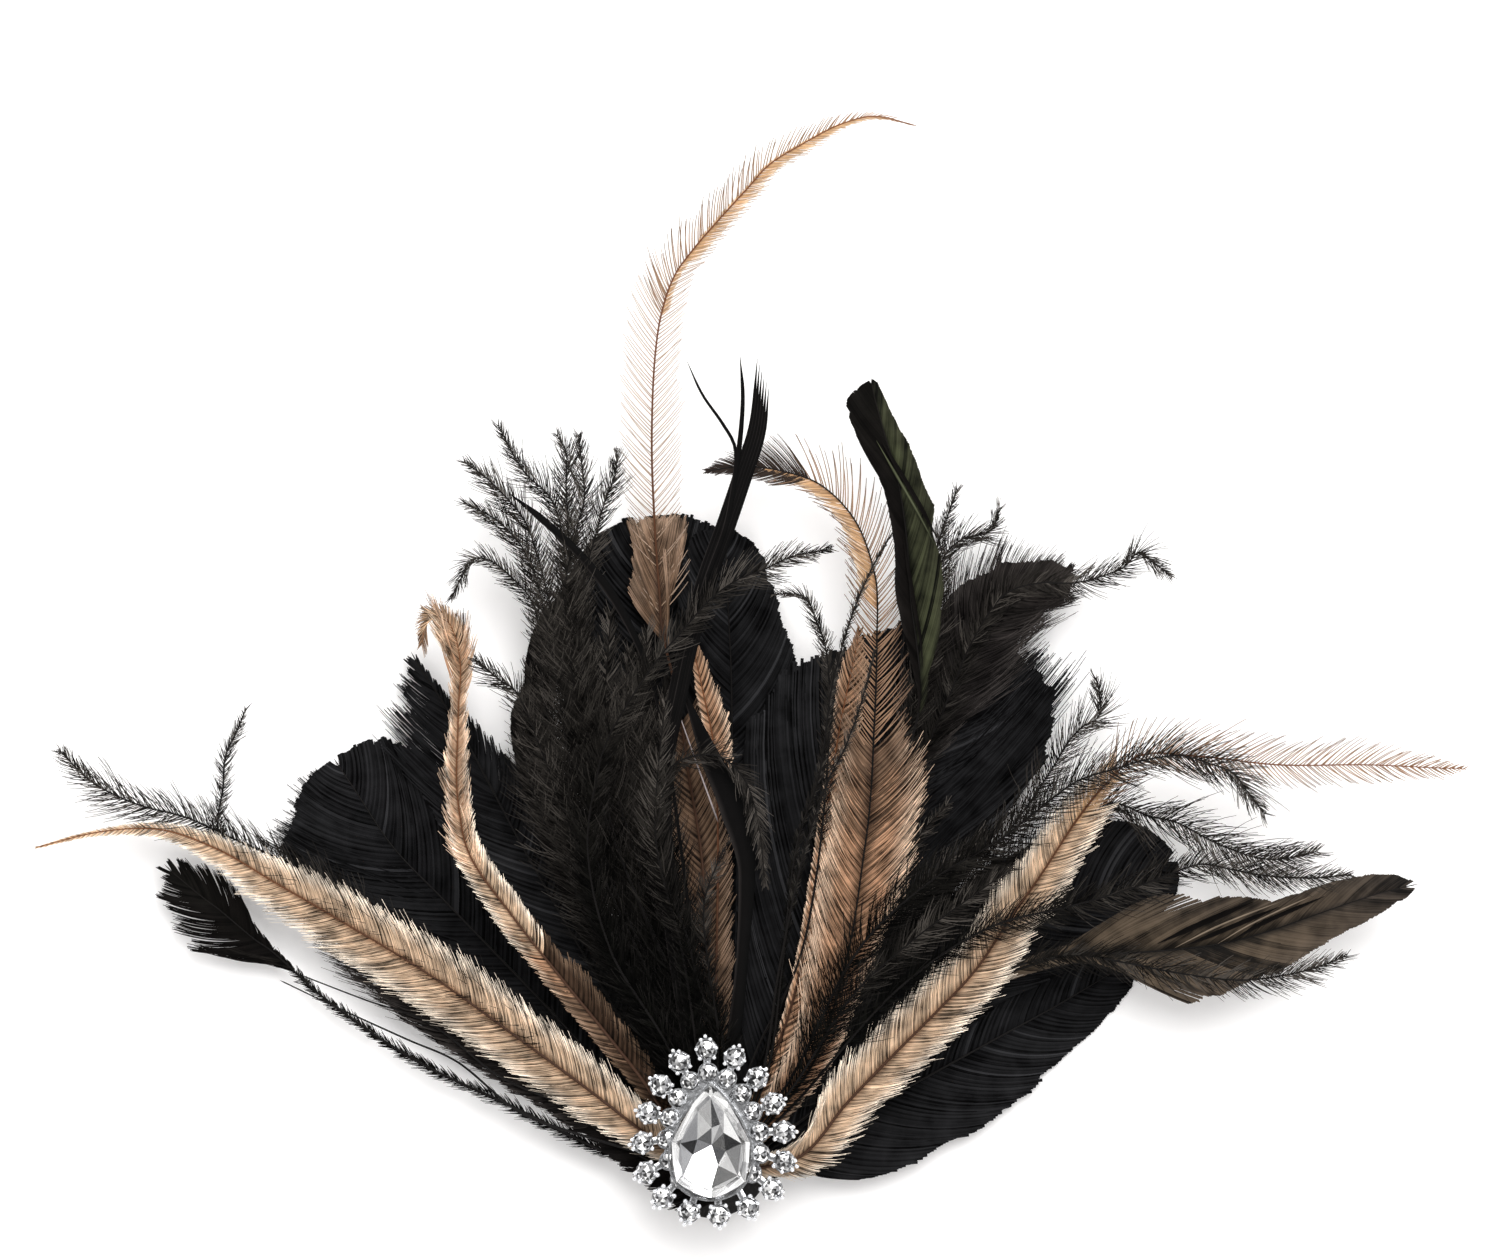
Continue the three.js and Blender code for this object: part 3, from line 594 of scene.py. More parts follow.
print("a goose feather of 100 mm has", int(100 / LOOKS["goose"].spacing), "barbs on a side")

# %% [markdown]
# ## Shafts and straps
#
# A shaft is a tapered tube, and a strap a long grooved strip. Both follow their line in the same kind of
# point grid as the barbs, so that one function can turn all of them into faces. A stalk that passes under
# its neighbour is tucked: the bare part of the shaft lies lower, and rises to its layer where the barbs
# start.

# %% Shafts and straps
SHAFT_STEP, SHAFT_SIDES, SHAFT_POINT, SHAFT_LIFT = 1.2, 6, 0.01, 0.08
TUCK_END, TUCK_RISE = 0.59, 0.07
STRAP_STEP, GROOVE_DEPTH, STRAP_CROWN, FULL_GROOVE_WIDTH = 1.5, 0.12, 0.35, 1.0
PLAIN_LOT = 0.5


def line_grid(plan, height, share, u):
    """A grid of points along a line, with the UV of each point and a plain lot."""
    grid = np.concatenate([plan, height[..., None]], axis=-1)[None]
    uv = np.empty(grid.shape[:3] + (2,))
    uv[..., 0] = u
    uv[..., 1] = share[None, :, None]
    return grid, uv, np.array([PLAIN_LOT])


def shaft_tube(line, layer, root_radius, tip_radius, tuck=0.0):
    """A tapered round shaft along a line, closed to a point at both ends. A tuck lowers its bare half."""
    length = line[1][-1]
    walked = np.linspace(0, length, max(int(length / SHAFT_STEP), 6))
    place, ahead = on_line(line, walked)
    share = walked / length
    radius = root_radius + (tip_radius - root_radius) * share
    radius[[0, -1]] = SHAFT_POINT
    turn = np.linspace(0, 2 * math.pi, SHAFT_SIDES + 1)
    plan = place[:, None] + leftward(ahead)[:, None] * (radius[:, None] * np.cos(turn))[..., None]
    tucked = tuck * (1 - smooth_step((share - TUCK_END) / TUCK_RISE))
    level = layer_height(layer, place[:, 0], place[:, 1]) - tucked + SHAFT_LIFT
    height = level[:, None] + radius[:, None] * np.sin(turn)
    return line_grid(plan, height, share, 0.0)


def strap_strip(line, profile, layer, folds, lift=0.0):
    """A stiff strap along a line with lengthwise grooves, its edges lower than its middle."""
    profile_rows = np.array(profile, float)
    length = line[1][-1]
    walked = np.linspace(0, length, max(int(length / STRAP_STEP), 8))
    share = walked / length
    place, ahead = on_line(line, walked)
    across = np.linspace(1, -1, 2 * folds + 1)
    half = np.interp(share, profile_rows[:, 0], profile_rows[:, 1])
    plan = place[:, None] + leftward(ahead)[:, None] * (half[:, None] * across)[..., None]
    ridges = np.where(np.arange(2 * folds + 1) % 2 == 1, GROOVE_DEPTH, 0.0) + STRAP_CROWN * (1 - across ** 2)
    height = layer_height(layer, plan[..., 0], plan[..., 1]) + lift
    height = height + ridges * np.minimum(1, half / FULL_GROOVE_WIDTH)[:, None]
    return line_grid(plan, height, share, np.linspace(0, 1, 2 * folds + 1))


def scaled_profile(profile, half_width):
    """A strap's profile, rows of share and width, made as wide as a half width says."""
    return [(share, half_width * width) for share, width in profile]


print("a shaft of 100 mm has", int(100 / SHAFT_STEP) * SHAFT_SIDES, "faces")

# %% [markdown]
# ## From grids to feathers
#
# All the grids of one feather become one mesh: neighbouring points are joined to four-cornered faces, and
# every point keeps its UV and its lot. The mesh then takes the place of the feather's solid.

# %% From grids to feathers
LEFT, CENTRE, RIGHT = (-1.5, -8), (0, -5.5), (1.5, -8)
ROOT_WIDTHS, STALK_WIDTHS = (0.6, 0.6), (0.3, 0.3)
LEFT_ROOT, CENTRE_ROOT, RIGHT_ROOT = (*LEFT, *ROOT_WIDTHS), (*CENTRE, *ROOT_WIDTHS), (*RIGHT, *ROOT_WIDTHS)


def mesh_piece(name, parts):
    """One object from (finish, grid, uv, lots) parts, with a UV map, a lot on every point and a finish."""
    points, faces, uvs, lots, finishes, slots = [], [], [], [], [], []
    start = 0
    for finish, grid, uv, lot in parts:
        index = start + np.arange(grid[..., 0].size).reshape(grid.shape[:3])
        corners = [index[:, :-1, :-1], index[:, :-1, 1:], index[:, 1:, 1:], index[:, 1:, :-1]]
        quads = np.stack(corners, axis=-1).reshape(-1, 4)
        if finish not in finishes:
            finishes.append(finish)
        points.append(grid.reshape(-1, 3) * MM)
        uvs.append(uv.reshape(-1, 2))
        lots.append(np.broadcast_to(lot[:, None, None], grid.shape[:3]).ravel())
        faces.append(quads)
        slots.append(np.full(len(quads), finishes.index(finish)))
        start += grid[..., 0].size
    points, faces, uvs = np.concatenate(points), np.concatenate(faces), np.concatenate(uvs)
    mesh = bpy.data.meshes.new(name)
    mesh.vertices.add(len(points))
    mesh.vertices.foreach_set("co", points.astype(np.float32).ravel())
    mesh.loops.add(faces.size)
    mesh.loops.foreach_set("vertex_index", faces.astype(np.int32).ravel())
    mesh.polygons.add(len(faces))
    mesh.polygons.foreach_set("loop_start", np.arange(0, faces.size, 4, dtype=np.int32))
    mesh.polygons.foreach_set("material_index", np.concatenate(slots).astype(np.int32))
    mesh.update(calc_edges=True)
    mesh.uv_layers.new(name="barbs").data.foreach_set("uv", uvs[faces.ravel()].astype(np.float32).ravel())
    attribute = mesh.attributes.new("lot", "FLOAT", "POINT")
    attribute.data.foreach_set("value", np.concatenate(lots).astype(np.float32))
    mesh.shade_smooth()
    for finish in finishes:
        mesh.materials.append(FINISH[finish])
    mesh.validate()
    piece = bpy.data.objects.new(name, mesh)
    bpy.context.scene.collection.objects.link(piece)
    return piece


def feather_parts(stations, layer, rows, shaft, rng, tuck=0.0):
    """The parts of one feather: its shaft, and the barb rows on both sides of it.

    A row is a look, a finish, the stretch of the shaft as shares of its length, and, where they are not 1,
    the scales of the widths on the left and on the right. A scale of 0 leaves that side bare.
    """
    columns = np.array(stations, float).T
    line = smooth_line(columns[:2].T)
    finish, root_radius, tip_radius = shaft
    parts = [(finish, *shaft_tube(line, layer, root_radius, tip_radius, tuck))]
    for look, finish, span, *scales in rows:
        left_scale, right_scale = scales or (1, 1)
        for side, scale, widths in ((1, left_scale, columns[2]), (-1, right_scale, columns[3])):
            if scale > 0:
                parts.append((finish, *barb_row(line, scale * widths, span, side, LOOKS[look], layer, rng)))
    return parts


def dress(piece, node):
    """Puts a piece in place of its solid, on the one body that there is."""
    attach(piece, "root")
    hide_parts(node)


def place_feather(node, parts):
    """Makes a feather's mesh and puts it in place of its solid."""
    piece = mesh_piece(node + "_barbs", parts)
    dress(piece, node)
    print(f"{piece.name}: {len(piece.data.polygons)} faces")


print("the quills meet at", LEFT, CENTRE, "and", RIGHT)

# %% [markdown]
# ## The black goose fans
#
# Seven broad smooth feathers make the back of the fan. Their vanes are closed: the barbs lie so near that
# only fine lines and a few splits show. A feather is drawn by its layer and by stations from the quill to
# the tip: x, y, and the widths of its outline to the left and to the right of the shaft. Three of them have
# frayed edges, which are a second row of thin barbs in loose locks.

# %% The black goose fans
GOOSE_QUILL = ("dark_quill", 0.5, 0.12)
GOOSE = {
    "fan_left_outer": (0, [
        LEFT_ROOT, (-12, 3, 4, 5), (-33, 26, 10, 12), (-58, 52, 18, 18), (-70, 64.5, 21.2, 21),
        (-77.4, 75.6, 19.4, 18), (-79.4, 78.6, 16.4, 16.5), (-80.6, 80.4, 13.4, 14.4),
        (-81.8, 82.2, 9.6, 11), (-82.6, 83.4, 5.6, 6), (-83, 84, 0.3, 0.3)]),
    "fan_left_inner": (1, [
        LEFT_ROOT, (-11, 11, 5, 5), (-40, 62, 11, 9), (-47, 75, 13, 8), (-55, 90, 14.4, 3.5),
        (-60, 98, 10.6, 1.5), (-64, 104, 4, 1), (-66, 107.5, 0.6, 0.5)]),
    "fan_centre_left": (0, [
        CENTRE_ROOT, (-4.6, 20, 5, 5), (-9, 60, 14, 9), (-12, 90, 19, 12), (-14, 112, 21, 15),
        (-15, 122, 17.6, 16), (-15.4, 130, 12.5, 17), (-15.6, 133.5, 9.6, 16.6), (-15.8, 136.2, 5, 12.5),
        (-15.8, 137, 0.3, 0.3)]),
    "fan_centre_right": (1, [
        CENTRE_ROOT, (3, 22, 5, 5), (4.5, 60, 9, 12), (4.6, 90, 11, 15), (4.4, 103.6, 11, 14.6),
        (4, 112.5, 11, 11.8), (3.6, 120.6, 11, 9.8), (3.4, 127, 10, 8.4), (3.2, 131, 9, 6),
        (3, 134, 7, 2.5), (3, 134.8, 0.3, 0.3)]),
    "fan_right_upper": (2, [
        RIGHT_ROOT, (12, 12, 10, 6), (22, 36, 20, 14), (30.6, 57, 27, 20), (40, 78, 33, 26),
        (48, 92, 30, 28.5), (54, 100, 20, 27.5), (59, 106, 13, 21.5), (61.5, 109.5, 8, 12),
        (63.5, 112, 2, 3)]),
    "fan_right_mid": (1, [
        RIGHT_ROOT, (18.5, 2, 5, 5), (48, 31, 11, 11), (70, 46.5, 15, 13), (84, 54.5, 14.5, 13),
        (93, 58.5, 13, 12), (98, 60.5, 9.6, 9.5), (101, 61.8, 5, 5.5), (102.2, 62.4, 0.3, 0.3)]),
    "fan_right_lower": (0, [
        RIGHT_ROOT, (9, -5, 3, 4), (19, -1.2, 5, 6), (28, 3.5, 7, 11), (40, 10, 9, 14.4),
        (52, 16.5, 10, 15.4), (63, 22.5, 10, 13.6), (75, 29, 9, 9.8), (81, 32.5, 8, 8.4), (90, 38, 5, 5),
        (94, 40.5, 1, 1)]),
}
CLOSED_VANE = [("goose", "goose", (0.02, 0.98))]
FRAYED_VANES = {
    "fan_left_outer": [*CLOSED_VANE, ("frayed", "goose", (0.5, 0.9), 1.05, 0)],
    "fan_left_inner": [("goose", "goose", (0.02, 0.72)), ("frayed", "goose", (0.58, 0.98))],
    "fan_right_upper": [*CLOSED_VANE, ("frayed", "goose", (0.4, 0.86), 0, 1.06)],
}
for seed, (node, (layer, stations)) in enumerate(GOOSE.items(), 100):
    rows = FRAYED_VANES.get(node, CLOSED_VANE)
    parts = feather_parts(stations, layer, rows, GOOSE_QUILL, np.random.default_rng(seed))
    place_feather(node, parts)

# %% [markdown]
# ## The tan plumes
#
# The plumes are brown beside a dark shaft and cream at the edge, where the barbs stand in small locks like
# fur. One feather has several rows of barbs, each with its own look and finish: a dark umber row underneath,
# whose barbs show between the locks as painted shade, the vane, and a thin fuzz over its edge. Umber rows
# also darken the lower part of the curled plume on the left, most on its right side, as painted shade. Three
# of them end in a thin part with few, pale barbs. The tallest also has a collar of steep close barbs at mid
# height.

# %% The tan plumes
TAN_QUILL = ("quill", 0.42, 0.1)
UPRIGHT_QUILL = ("dark_quill", 0.3, 0.14)
# The under rows in umber lie beneath the vanes and show between the locks as painted shade.
TAN = {
    "plume_left_long": (5, [
        LEFT_ROOT, (-15.6, 2.6, 4.5, 4.5), (-27, 11.4, 6.2, 6), (-38.7, 20, 6.8, 6.5), (-61, 36, 7.3, 7),
        (-84, 50, 7, 6.5), (-96, 57, 5.6, 5), (-108, 64, 3.6, 3), (-120.6, 68.4, 2, 1.5),
        (-133.5, 68, 1.2, 0.8), (-148, 64.5, 0.4, 0.4)], [
        ("under", "umber", (0.03, 0.82), 0.8, 0.8), ("plume", "tan", (0.03, 1)),
        ("fuzz", "tan", (0.03, 0.9), 1.08, 1.08)]),
    "plume_left_curled": (6, [
        LEFT_ROOT, (-14, 12, 2.5, 2.4), (-22, 22.4, 3, 3), (-33, 36, 3.4, 3.2), (-44, 50, 3.7, 3.5),
        (-53, 63, 3, 3.6), (-55.3, 73, 2.6, 3.2), (-55.8, 80, 2.4, 2.8), (-55.6, 87, 2.2, 2.3),
        (-55.3, 96, 1.6, 1.4), (-54.9, 104, 2.5, 2.4), (-56.3, 111.5, 6.4, 3), (-59, 115.5, 5, 2.4),
        (-62, 114.5, 4, 2.2), (-63.4, 109, 2, 1.2)], [
        # The umber rows darken the lower part of this plume, most on its right side, as painted shade.
        ("hair", "umber", (0.05, 0.34), 0, 1.5), ("hair", "umber", (0.3, 0.43), 0, 1.05),
        ("under", "umber", (0.1, 0.95), 0.8, 0.8), ("hair", "umber", (0.1, 0.24), 1, 0),
        ("hair", "brown", (0.2, 0.36), 1, 0), ("plume", "fawn", (0.32, 0.46), 1, 0),
        ("plume", "tan", (0.4, 0.6)), ("fur", "fawn", (0.54, 0.9)), ("plume", "fawn", (0.86, 0.96)),
        ("plume", "brown", (0.94, 1)), ("fuzz", "tan", (0.4, 0.96))]),
    "plume_top_tall": (2, [
        CENTRE_ROOT, (0, 22, 4, 4), (-1.1, 41.8, 6, 6), (-2, 62, 6, 6.4), (-5, 81, 5, 5),
        (-7.5, 98, 4.5, 4.5), (-10.7, 112, 2, 2), (-11.2, 118.8, 3.4, 4), (-11.6, 124, 4.4, 6.6),
        (-12.4, 136, 5.6, 6.2), (-13, 153, 6.4, 6.4), (-12.3, 172, 6.8, 5.6), (-10.8, 182, 6.6, 5),
        (-8, 190, 6, 4.2), (-3.7, 196, 5.6, 3.6), (2, 202.6, 5, 3.4), (8.3, 209.5, 4.6, 3.4),
        (12.7, 214.3, 4.2, 3.2), (20.6, 219.2, 3.6, 2.8), (28.4, 223.2, 2.4, 2), (35.8, 225, 1.2, 1.4),
        (45, 223, 0.3, 0.4)], [
        ("under", "umber", (0.08, 0.36), 0.8, 0.8), ("hair", "brown", (0.08, 0.37)),
        ("sparse", "pale", (0.46, 0.74)), ("sparse", "pale", (0.74, 0.97), 0, 1),
        ("whisker", "straw", (0.71, 0.98), 1, 0), ("plume", "orange", (0.71, 0.8), 0, 0.3),
        ("plume", "orange", (0.76, 1), 0, 0.7), ("plume", "orange", (0.78, 0.96), 0.12, 0)]),
    "plume_centre_narrow": (4, [
        CENTRE_ROOT, (1, 30, 3, 3), (1.5, 70, 3, 3), (0.6, 87, 3.4, 4), (-1.6, 98, 3.4, 3.6),
        (-3.4, 106, 2.4, 2.4), (-5, 112.5, 0.6, 0.8)], [
        ("under", "umber", (0.72, 0.95), 0.4, 0.8), ("hair", "fawn", (0.7, 1), 0.5, 1)]),
    "plume_right_behind": (6, [
        RIGHT_ROOT, (11, 12, 1, 2), (18, 31, 1.4, 3.4), (24, 64, 1.4, 4.6), (28.5, 92, 1.8, 4.4),
        (31, 104, 3.2, 4), (32.6, 112, 1, 1)], [
        ("under", "umber", (0.05, 0.95), 0.8, 0.8), ("hair", "fawn", (0.05, 1))]),
    "plume_right_upright": (7, [
        RIGHT_ROOT, (9, 0, 3, 2), (16, 8, 5, 2.6), (22.5, 17.3, 6.6, 3.2), (27, 29.5, 8.6, 4.2),
        (31, 45.8, 9.6, 6.2), (33.4, 62, 9.2, 9.6), (34.5, 70, 8.6, 10.6), (35.2, 78.3, 8, 10.8),
        (35.6, 86, 7.2, 9.8), (35.7, 89, 7, 7), (36, 94.6, 6.8, 6.8), (36.3, 104, 6.2, 6.4),
        (36.4, 111, 5.6, 6), (36.5, 118, 6.4, 5.6), (36, 124, 6.4, 5.8), (31.7, 136, 5, 6.8),
        (24, 144, 4.4, 7), (15.6, 147, 3.4, 6), (7, 148, 2.4, 3.4), (-1, 147, 0.6, 0.6)], [
        ("under", "umber", (0.05, 0.54), 0.8, 0.8), ("hair", "fawn", (0.03, 0.44)),
        ("plume", "brown", (0.42, 0.54)), ("fuzz", "fawn", (0.05, 0.5), 1.06, 1.06),
        ("whisker", "straw", (0.5, 0.9)), ("plume", "orange", (0.7, 0.93), 0.7, 0),
        ("plume", "sooty", (0.88, 1), 1.4, 1.4)]),
    "plume_right_low": (8, [
        RIGHT_ROOT, (10, -6, 2, 2), (20, -3, 4, 4), (30, 8.6, 6, 6), (40, 19, 6.6, 6.4),
        (49, 28, 6.8, 6.4), (58, 37.6, 6.6, 6.2), (66, 49.5, 6.2, 6), (72, 58, 5.6, 6),
        (80.5, 71, 4.6, 5.6), (87, 79, 4.6, 4.6), (94, 84.7, 6, 4.4), (107, 84.5, 6.6, 4.6),
        (124, 82.7, 6.4, 4.6), (144, 82.7, 5.6, 4.6), (160, 82, 3, 2.6), (165, 82, 0.5, 0.5)], [
        ("under", "umber", (0.03, 0.5), 0.8, 0.8), ("plume", "tan", (0.03, 0.57)),
        ("fuzz", "tan", (0.03, 0.55), 1.08, 1.08), ("plume", "orange", (0.54, 0.62), 0.7, 0.4),
        ("whisker", "straw", (0.54, 1))]),
}
COLLAR = [(-9.4, 108, 0.3, 0.3), (-10.7, 112, 1.2, 1.2), (-11.2, 118.8, 3.4, 4), (-11.6, 124, 4.4, 6.4),
          (-12.1, 130, 5, 6.2), (-12.4, 136, 5.6, 6.2), (-12.4, 136.8, 0.3, 0.3)]
for seed, (node, (layer, stations, rows)) in enumerate(TAN.items(), 200):
    rng = np.random.default_rng(seed)
    quill = UPRIGHT_QUILL if node == "plume_right_upright" else TAN_QUILL
    parts = feather_parts(stations, layer, rows, quill, rng)
    if node == "plume_top_tall":
        parts += feather_parts(COLLAR, layer, [("wedge", "brown", (0, 1))], TAN_QUILL, rng)
    place_feather(node, parts)

# %% [markdown]
# ## The glossy cock feathers and the soft grey one
#
# Cock feathers have long barbs that run almost along the shaft, so the vane looks drawn out and shines
# green or bronze. Their folds are painted: narrow strips just over the vane, with painted shade in the
# crease and a painted highlight beside it.
# The green one's stalk is tucked under the plume beside it. One on the left keeps only a spade of barbs at
# the end of a stripped stalk. The grey feather at the upper right is soft down.

# %% The glossy cock feathers and the soft grey one
COQUE_QUILL = ("dark_quill", 0.42, 0.12)
STALK_TUCK = 3.4
PAINTED_FOLD_PROFILE, PAINTED_FOLD_LIFT = [(0, 0.1), (0.3, 1), (0.7, 1), (1, 0.1)], 0.9
# Painted light: each dark coque strip is painted shade in a fold's crease, and each gleam or green highlight
# strip beside it is a painted highlight.
PAINTED_FOLD_STRIPS = {
    "coque_green": [
        ("coque", 0.5, [(36.8, 154.6), (40, 149), (43, 144), (46.5, 138), (49.8, 131.7)]),
        ("painted_green_highlight", 0.3, [(36.2, 153.6), (39.3, 148.2), (42.2, 143.2), (45.6, 137.2), (49, 130.8)]),
        ("coque", 0.4, [(42, 134), (43, 127), (43.9, 121.7), (45, 115), (45.8, 110.9), (46.4, 104)])],
    "coque_bronze": [
        ("coque", 0.6, [(98, 43.4), (108, 48), (119, 52.6)]),
        ("gleam", 0.25, [(101.8, 42.5), (111.2, 47.2), (125.8, 53)]),
        ("coque", 0.5, [(104, 42.9), (113, 46.6), (124.5, 51.4)]),
        ("gleam", 0.22, [(111.2, 43.4), (118.5, 47.7), (133.1, 54.5)]),
        ("coque", 0.45, [(113.5, 43.6), (121, 47.9), (134.5, 53.8)])],
}
COQUE = {
    "coque_green": (9, [
        (*RIGHT, *STALK_WIDTHS), (15, 13, 0.3, 0.3), (37, 64, 0.3, 0.3), (44, 88, 0.3, 0.3),
        (46, 97, 0.5, 0.9), (45.8, 103, 1.4, 1.4), (44.9, 110.6, 2.4, 4.2), (43.8, 118.8, 3, 6.2),
        (43.3, 127, 2.9, 7.4), (42.4, 136, 3, 6.3), (41.2, 143.6, 3.6, 4.7), (39.7, 149.4, 5.2, 4.1),
        (38.2, 154.3, 7.5, 3.3), (36.8, 159.3, 8.2, 2.8), (35.8, 163, 6.2, 2.1), (35.2, 166, 3, 1.6),
        (35.1, 167.4, 0.2, 0.2)], [
        ("bronze", "coque", (0.6, 0.99), 1, 0), ("coque", "green", (0.6, 0.995), 0, 1)]),
    "coque_bronze": (5, [
        (*RIGHT, *STALK_WIDTHS), (19.6, 4.4, 0.4, 0.4), (52.6, 31, 1.2, 1.2), (79, 41, 2, 2),
        (87, 41.2, 4.8, 4.2), (93, 41.4, 7.1, 6.4), (98.8, 41.8, 9.2, 8.4), (105, 42.4, 11.2, 9.8),
        (111, 43.2, 12.2, 9.8), (118, 44.8, 10.2, 8.2), (125, 47, 7.6, 7), (130, 48.8, 6.4, 6.2),
        (139, 52, 5.4, 5.6), (146, 54.3, 4.6, 4.6), (151, 55.6, 3, 3), (153.6, 56.2, 1.2, 1.2),
        (155.2, 56.5, 0.2, 0.2)], [
        ("bronze", "bronze", (0.3, 0.98))]),
    "coque_left_spade": (2, [
        (*LEFT, 0.4, 0.4), (-14.5, -5.5, 1, 1), (-24.6, -1.8, 1.4, 1.4), (-44, 7.7, 1.6, 1.6),
        (-64.5, 17.4, 1.4, 1.4), (-84.7, 31, 1.2, 1.2), (-93, 38.5, 1.2, 0.8), (-97, 42, 3.4, 1),
        (-100, 44, 5.8, 2), (-104, 47.3, 9, 4), (-108, 50.7, 9.6, 6.2), (-112, 53.7, 9, 6.6),
        (-115.5, 56.6, 7.4, 6), (-118, 58.7, 5.2, 4.4), (-120.2, 60.8, 1.5, 1.5)], [
        ("stub", "ostrich", (0.1, 0.76)), ("spade", "coque", (0.735, 0.98))]),
    "coque_left_under": (3, [
        (5, -10.5, 3, 0.6), (-2, -9.5, 5.4, 4), (-8, -7, 6, 4), (-14, -4, 4.4, 4), (-24, 2, 2.8, 4),
        (-38, 11, 2.8, 4), (-53, 22, 4, 4), (-66, 34, 6.6, 4), (-78, 45, 8, 4), (-87, 52, 4, 1),
        (-89, 54, 0.5, 0.5)], [
        ("spade", "coque", (0, 0.3)), ("frayed", "coque", (0.05, 0.7), 0.9, 0.9),
        ("down", "down", (0.3, 0.98))]),
    "coque_centre_left": (3, [
        CENTRE_ROOT, (-7, 20, 2, 2), (-24, 46, 4, 4), (-38, 84, 4.4, 4.4), (-38, 93.5, 4, 4),
        (-36, 110, 3, 3), (-29, 125, 0.6, 0.6)], [
        ("coque", "coque", (0.05, 0.98))]),
    "fluff_right": (3, [
        (*RIGHT, *STALK_WIDTHS), (20, 40, 0.4, 0.4), (41.6, 79, 3, 3), (50, 95, 9, 6), (57, 108, 12, 11.6),
        (61, 112.7, 13, 12), (64, 116, 12.4, 11.6), (71, 120.5, 10.6, 9.6), (77, 123.5, 6.6, 5.6),
        (79.5, 125.5, 0.5, 0.5)], [
        ("goose", "down", (0.42, 0.99), 0.7, 0.7), ("down", "down", (0.42, 1))]),
}
for seed, (node, (layer, stations, rows)) in enumerate(COQUE.items(), 300):
    tuck = STALK_TUCK if node == "coque_green" else 0.0
    parts = feather_parts(stations, layer, rows, COQUE_QUILL, np.random.default_rng(seed), tuck)
    for finish, half_width, path in PAINTED_FOLD_STRIPS.get(node, []):
        profile = scaled_profile(PAINTED_FOLD_PROFILE, half_width)
        parts.append((finish, *strap_strip(smooth_line(path), profile, layer, 1, PAINTED_FOLD_LIFT)))
    place_feather(node, parts)

# %% [markdown]
# ## The ostrich sprays
#
# An ostrich strand is a thin stem with short soft barbules that stand out all round it. The sprays are many
# such strands. Each row below gives the share of the stem where the barbules start, their reach, and the
# stem's points from the brooch outwards. A strand that passes under a plume also has a tuck.

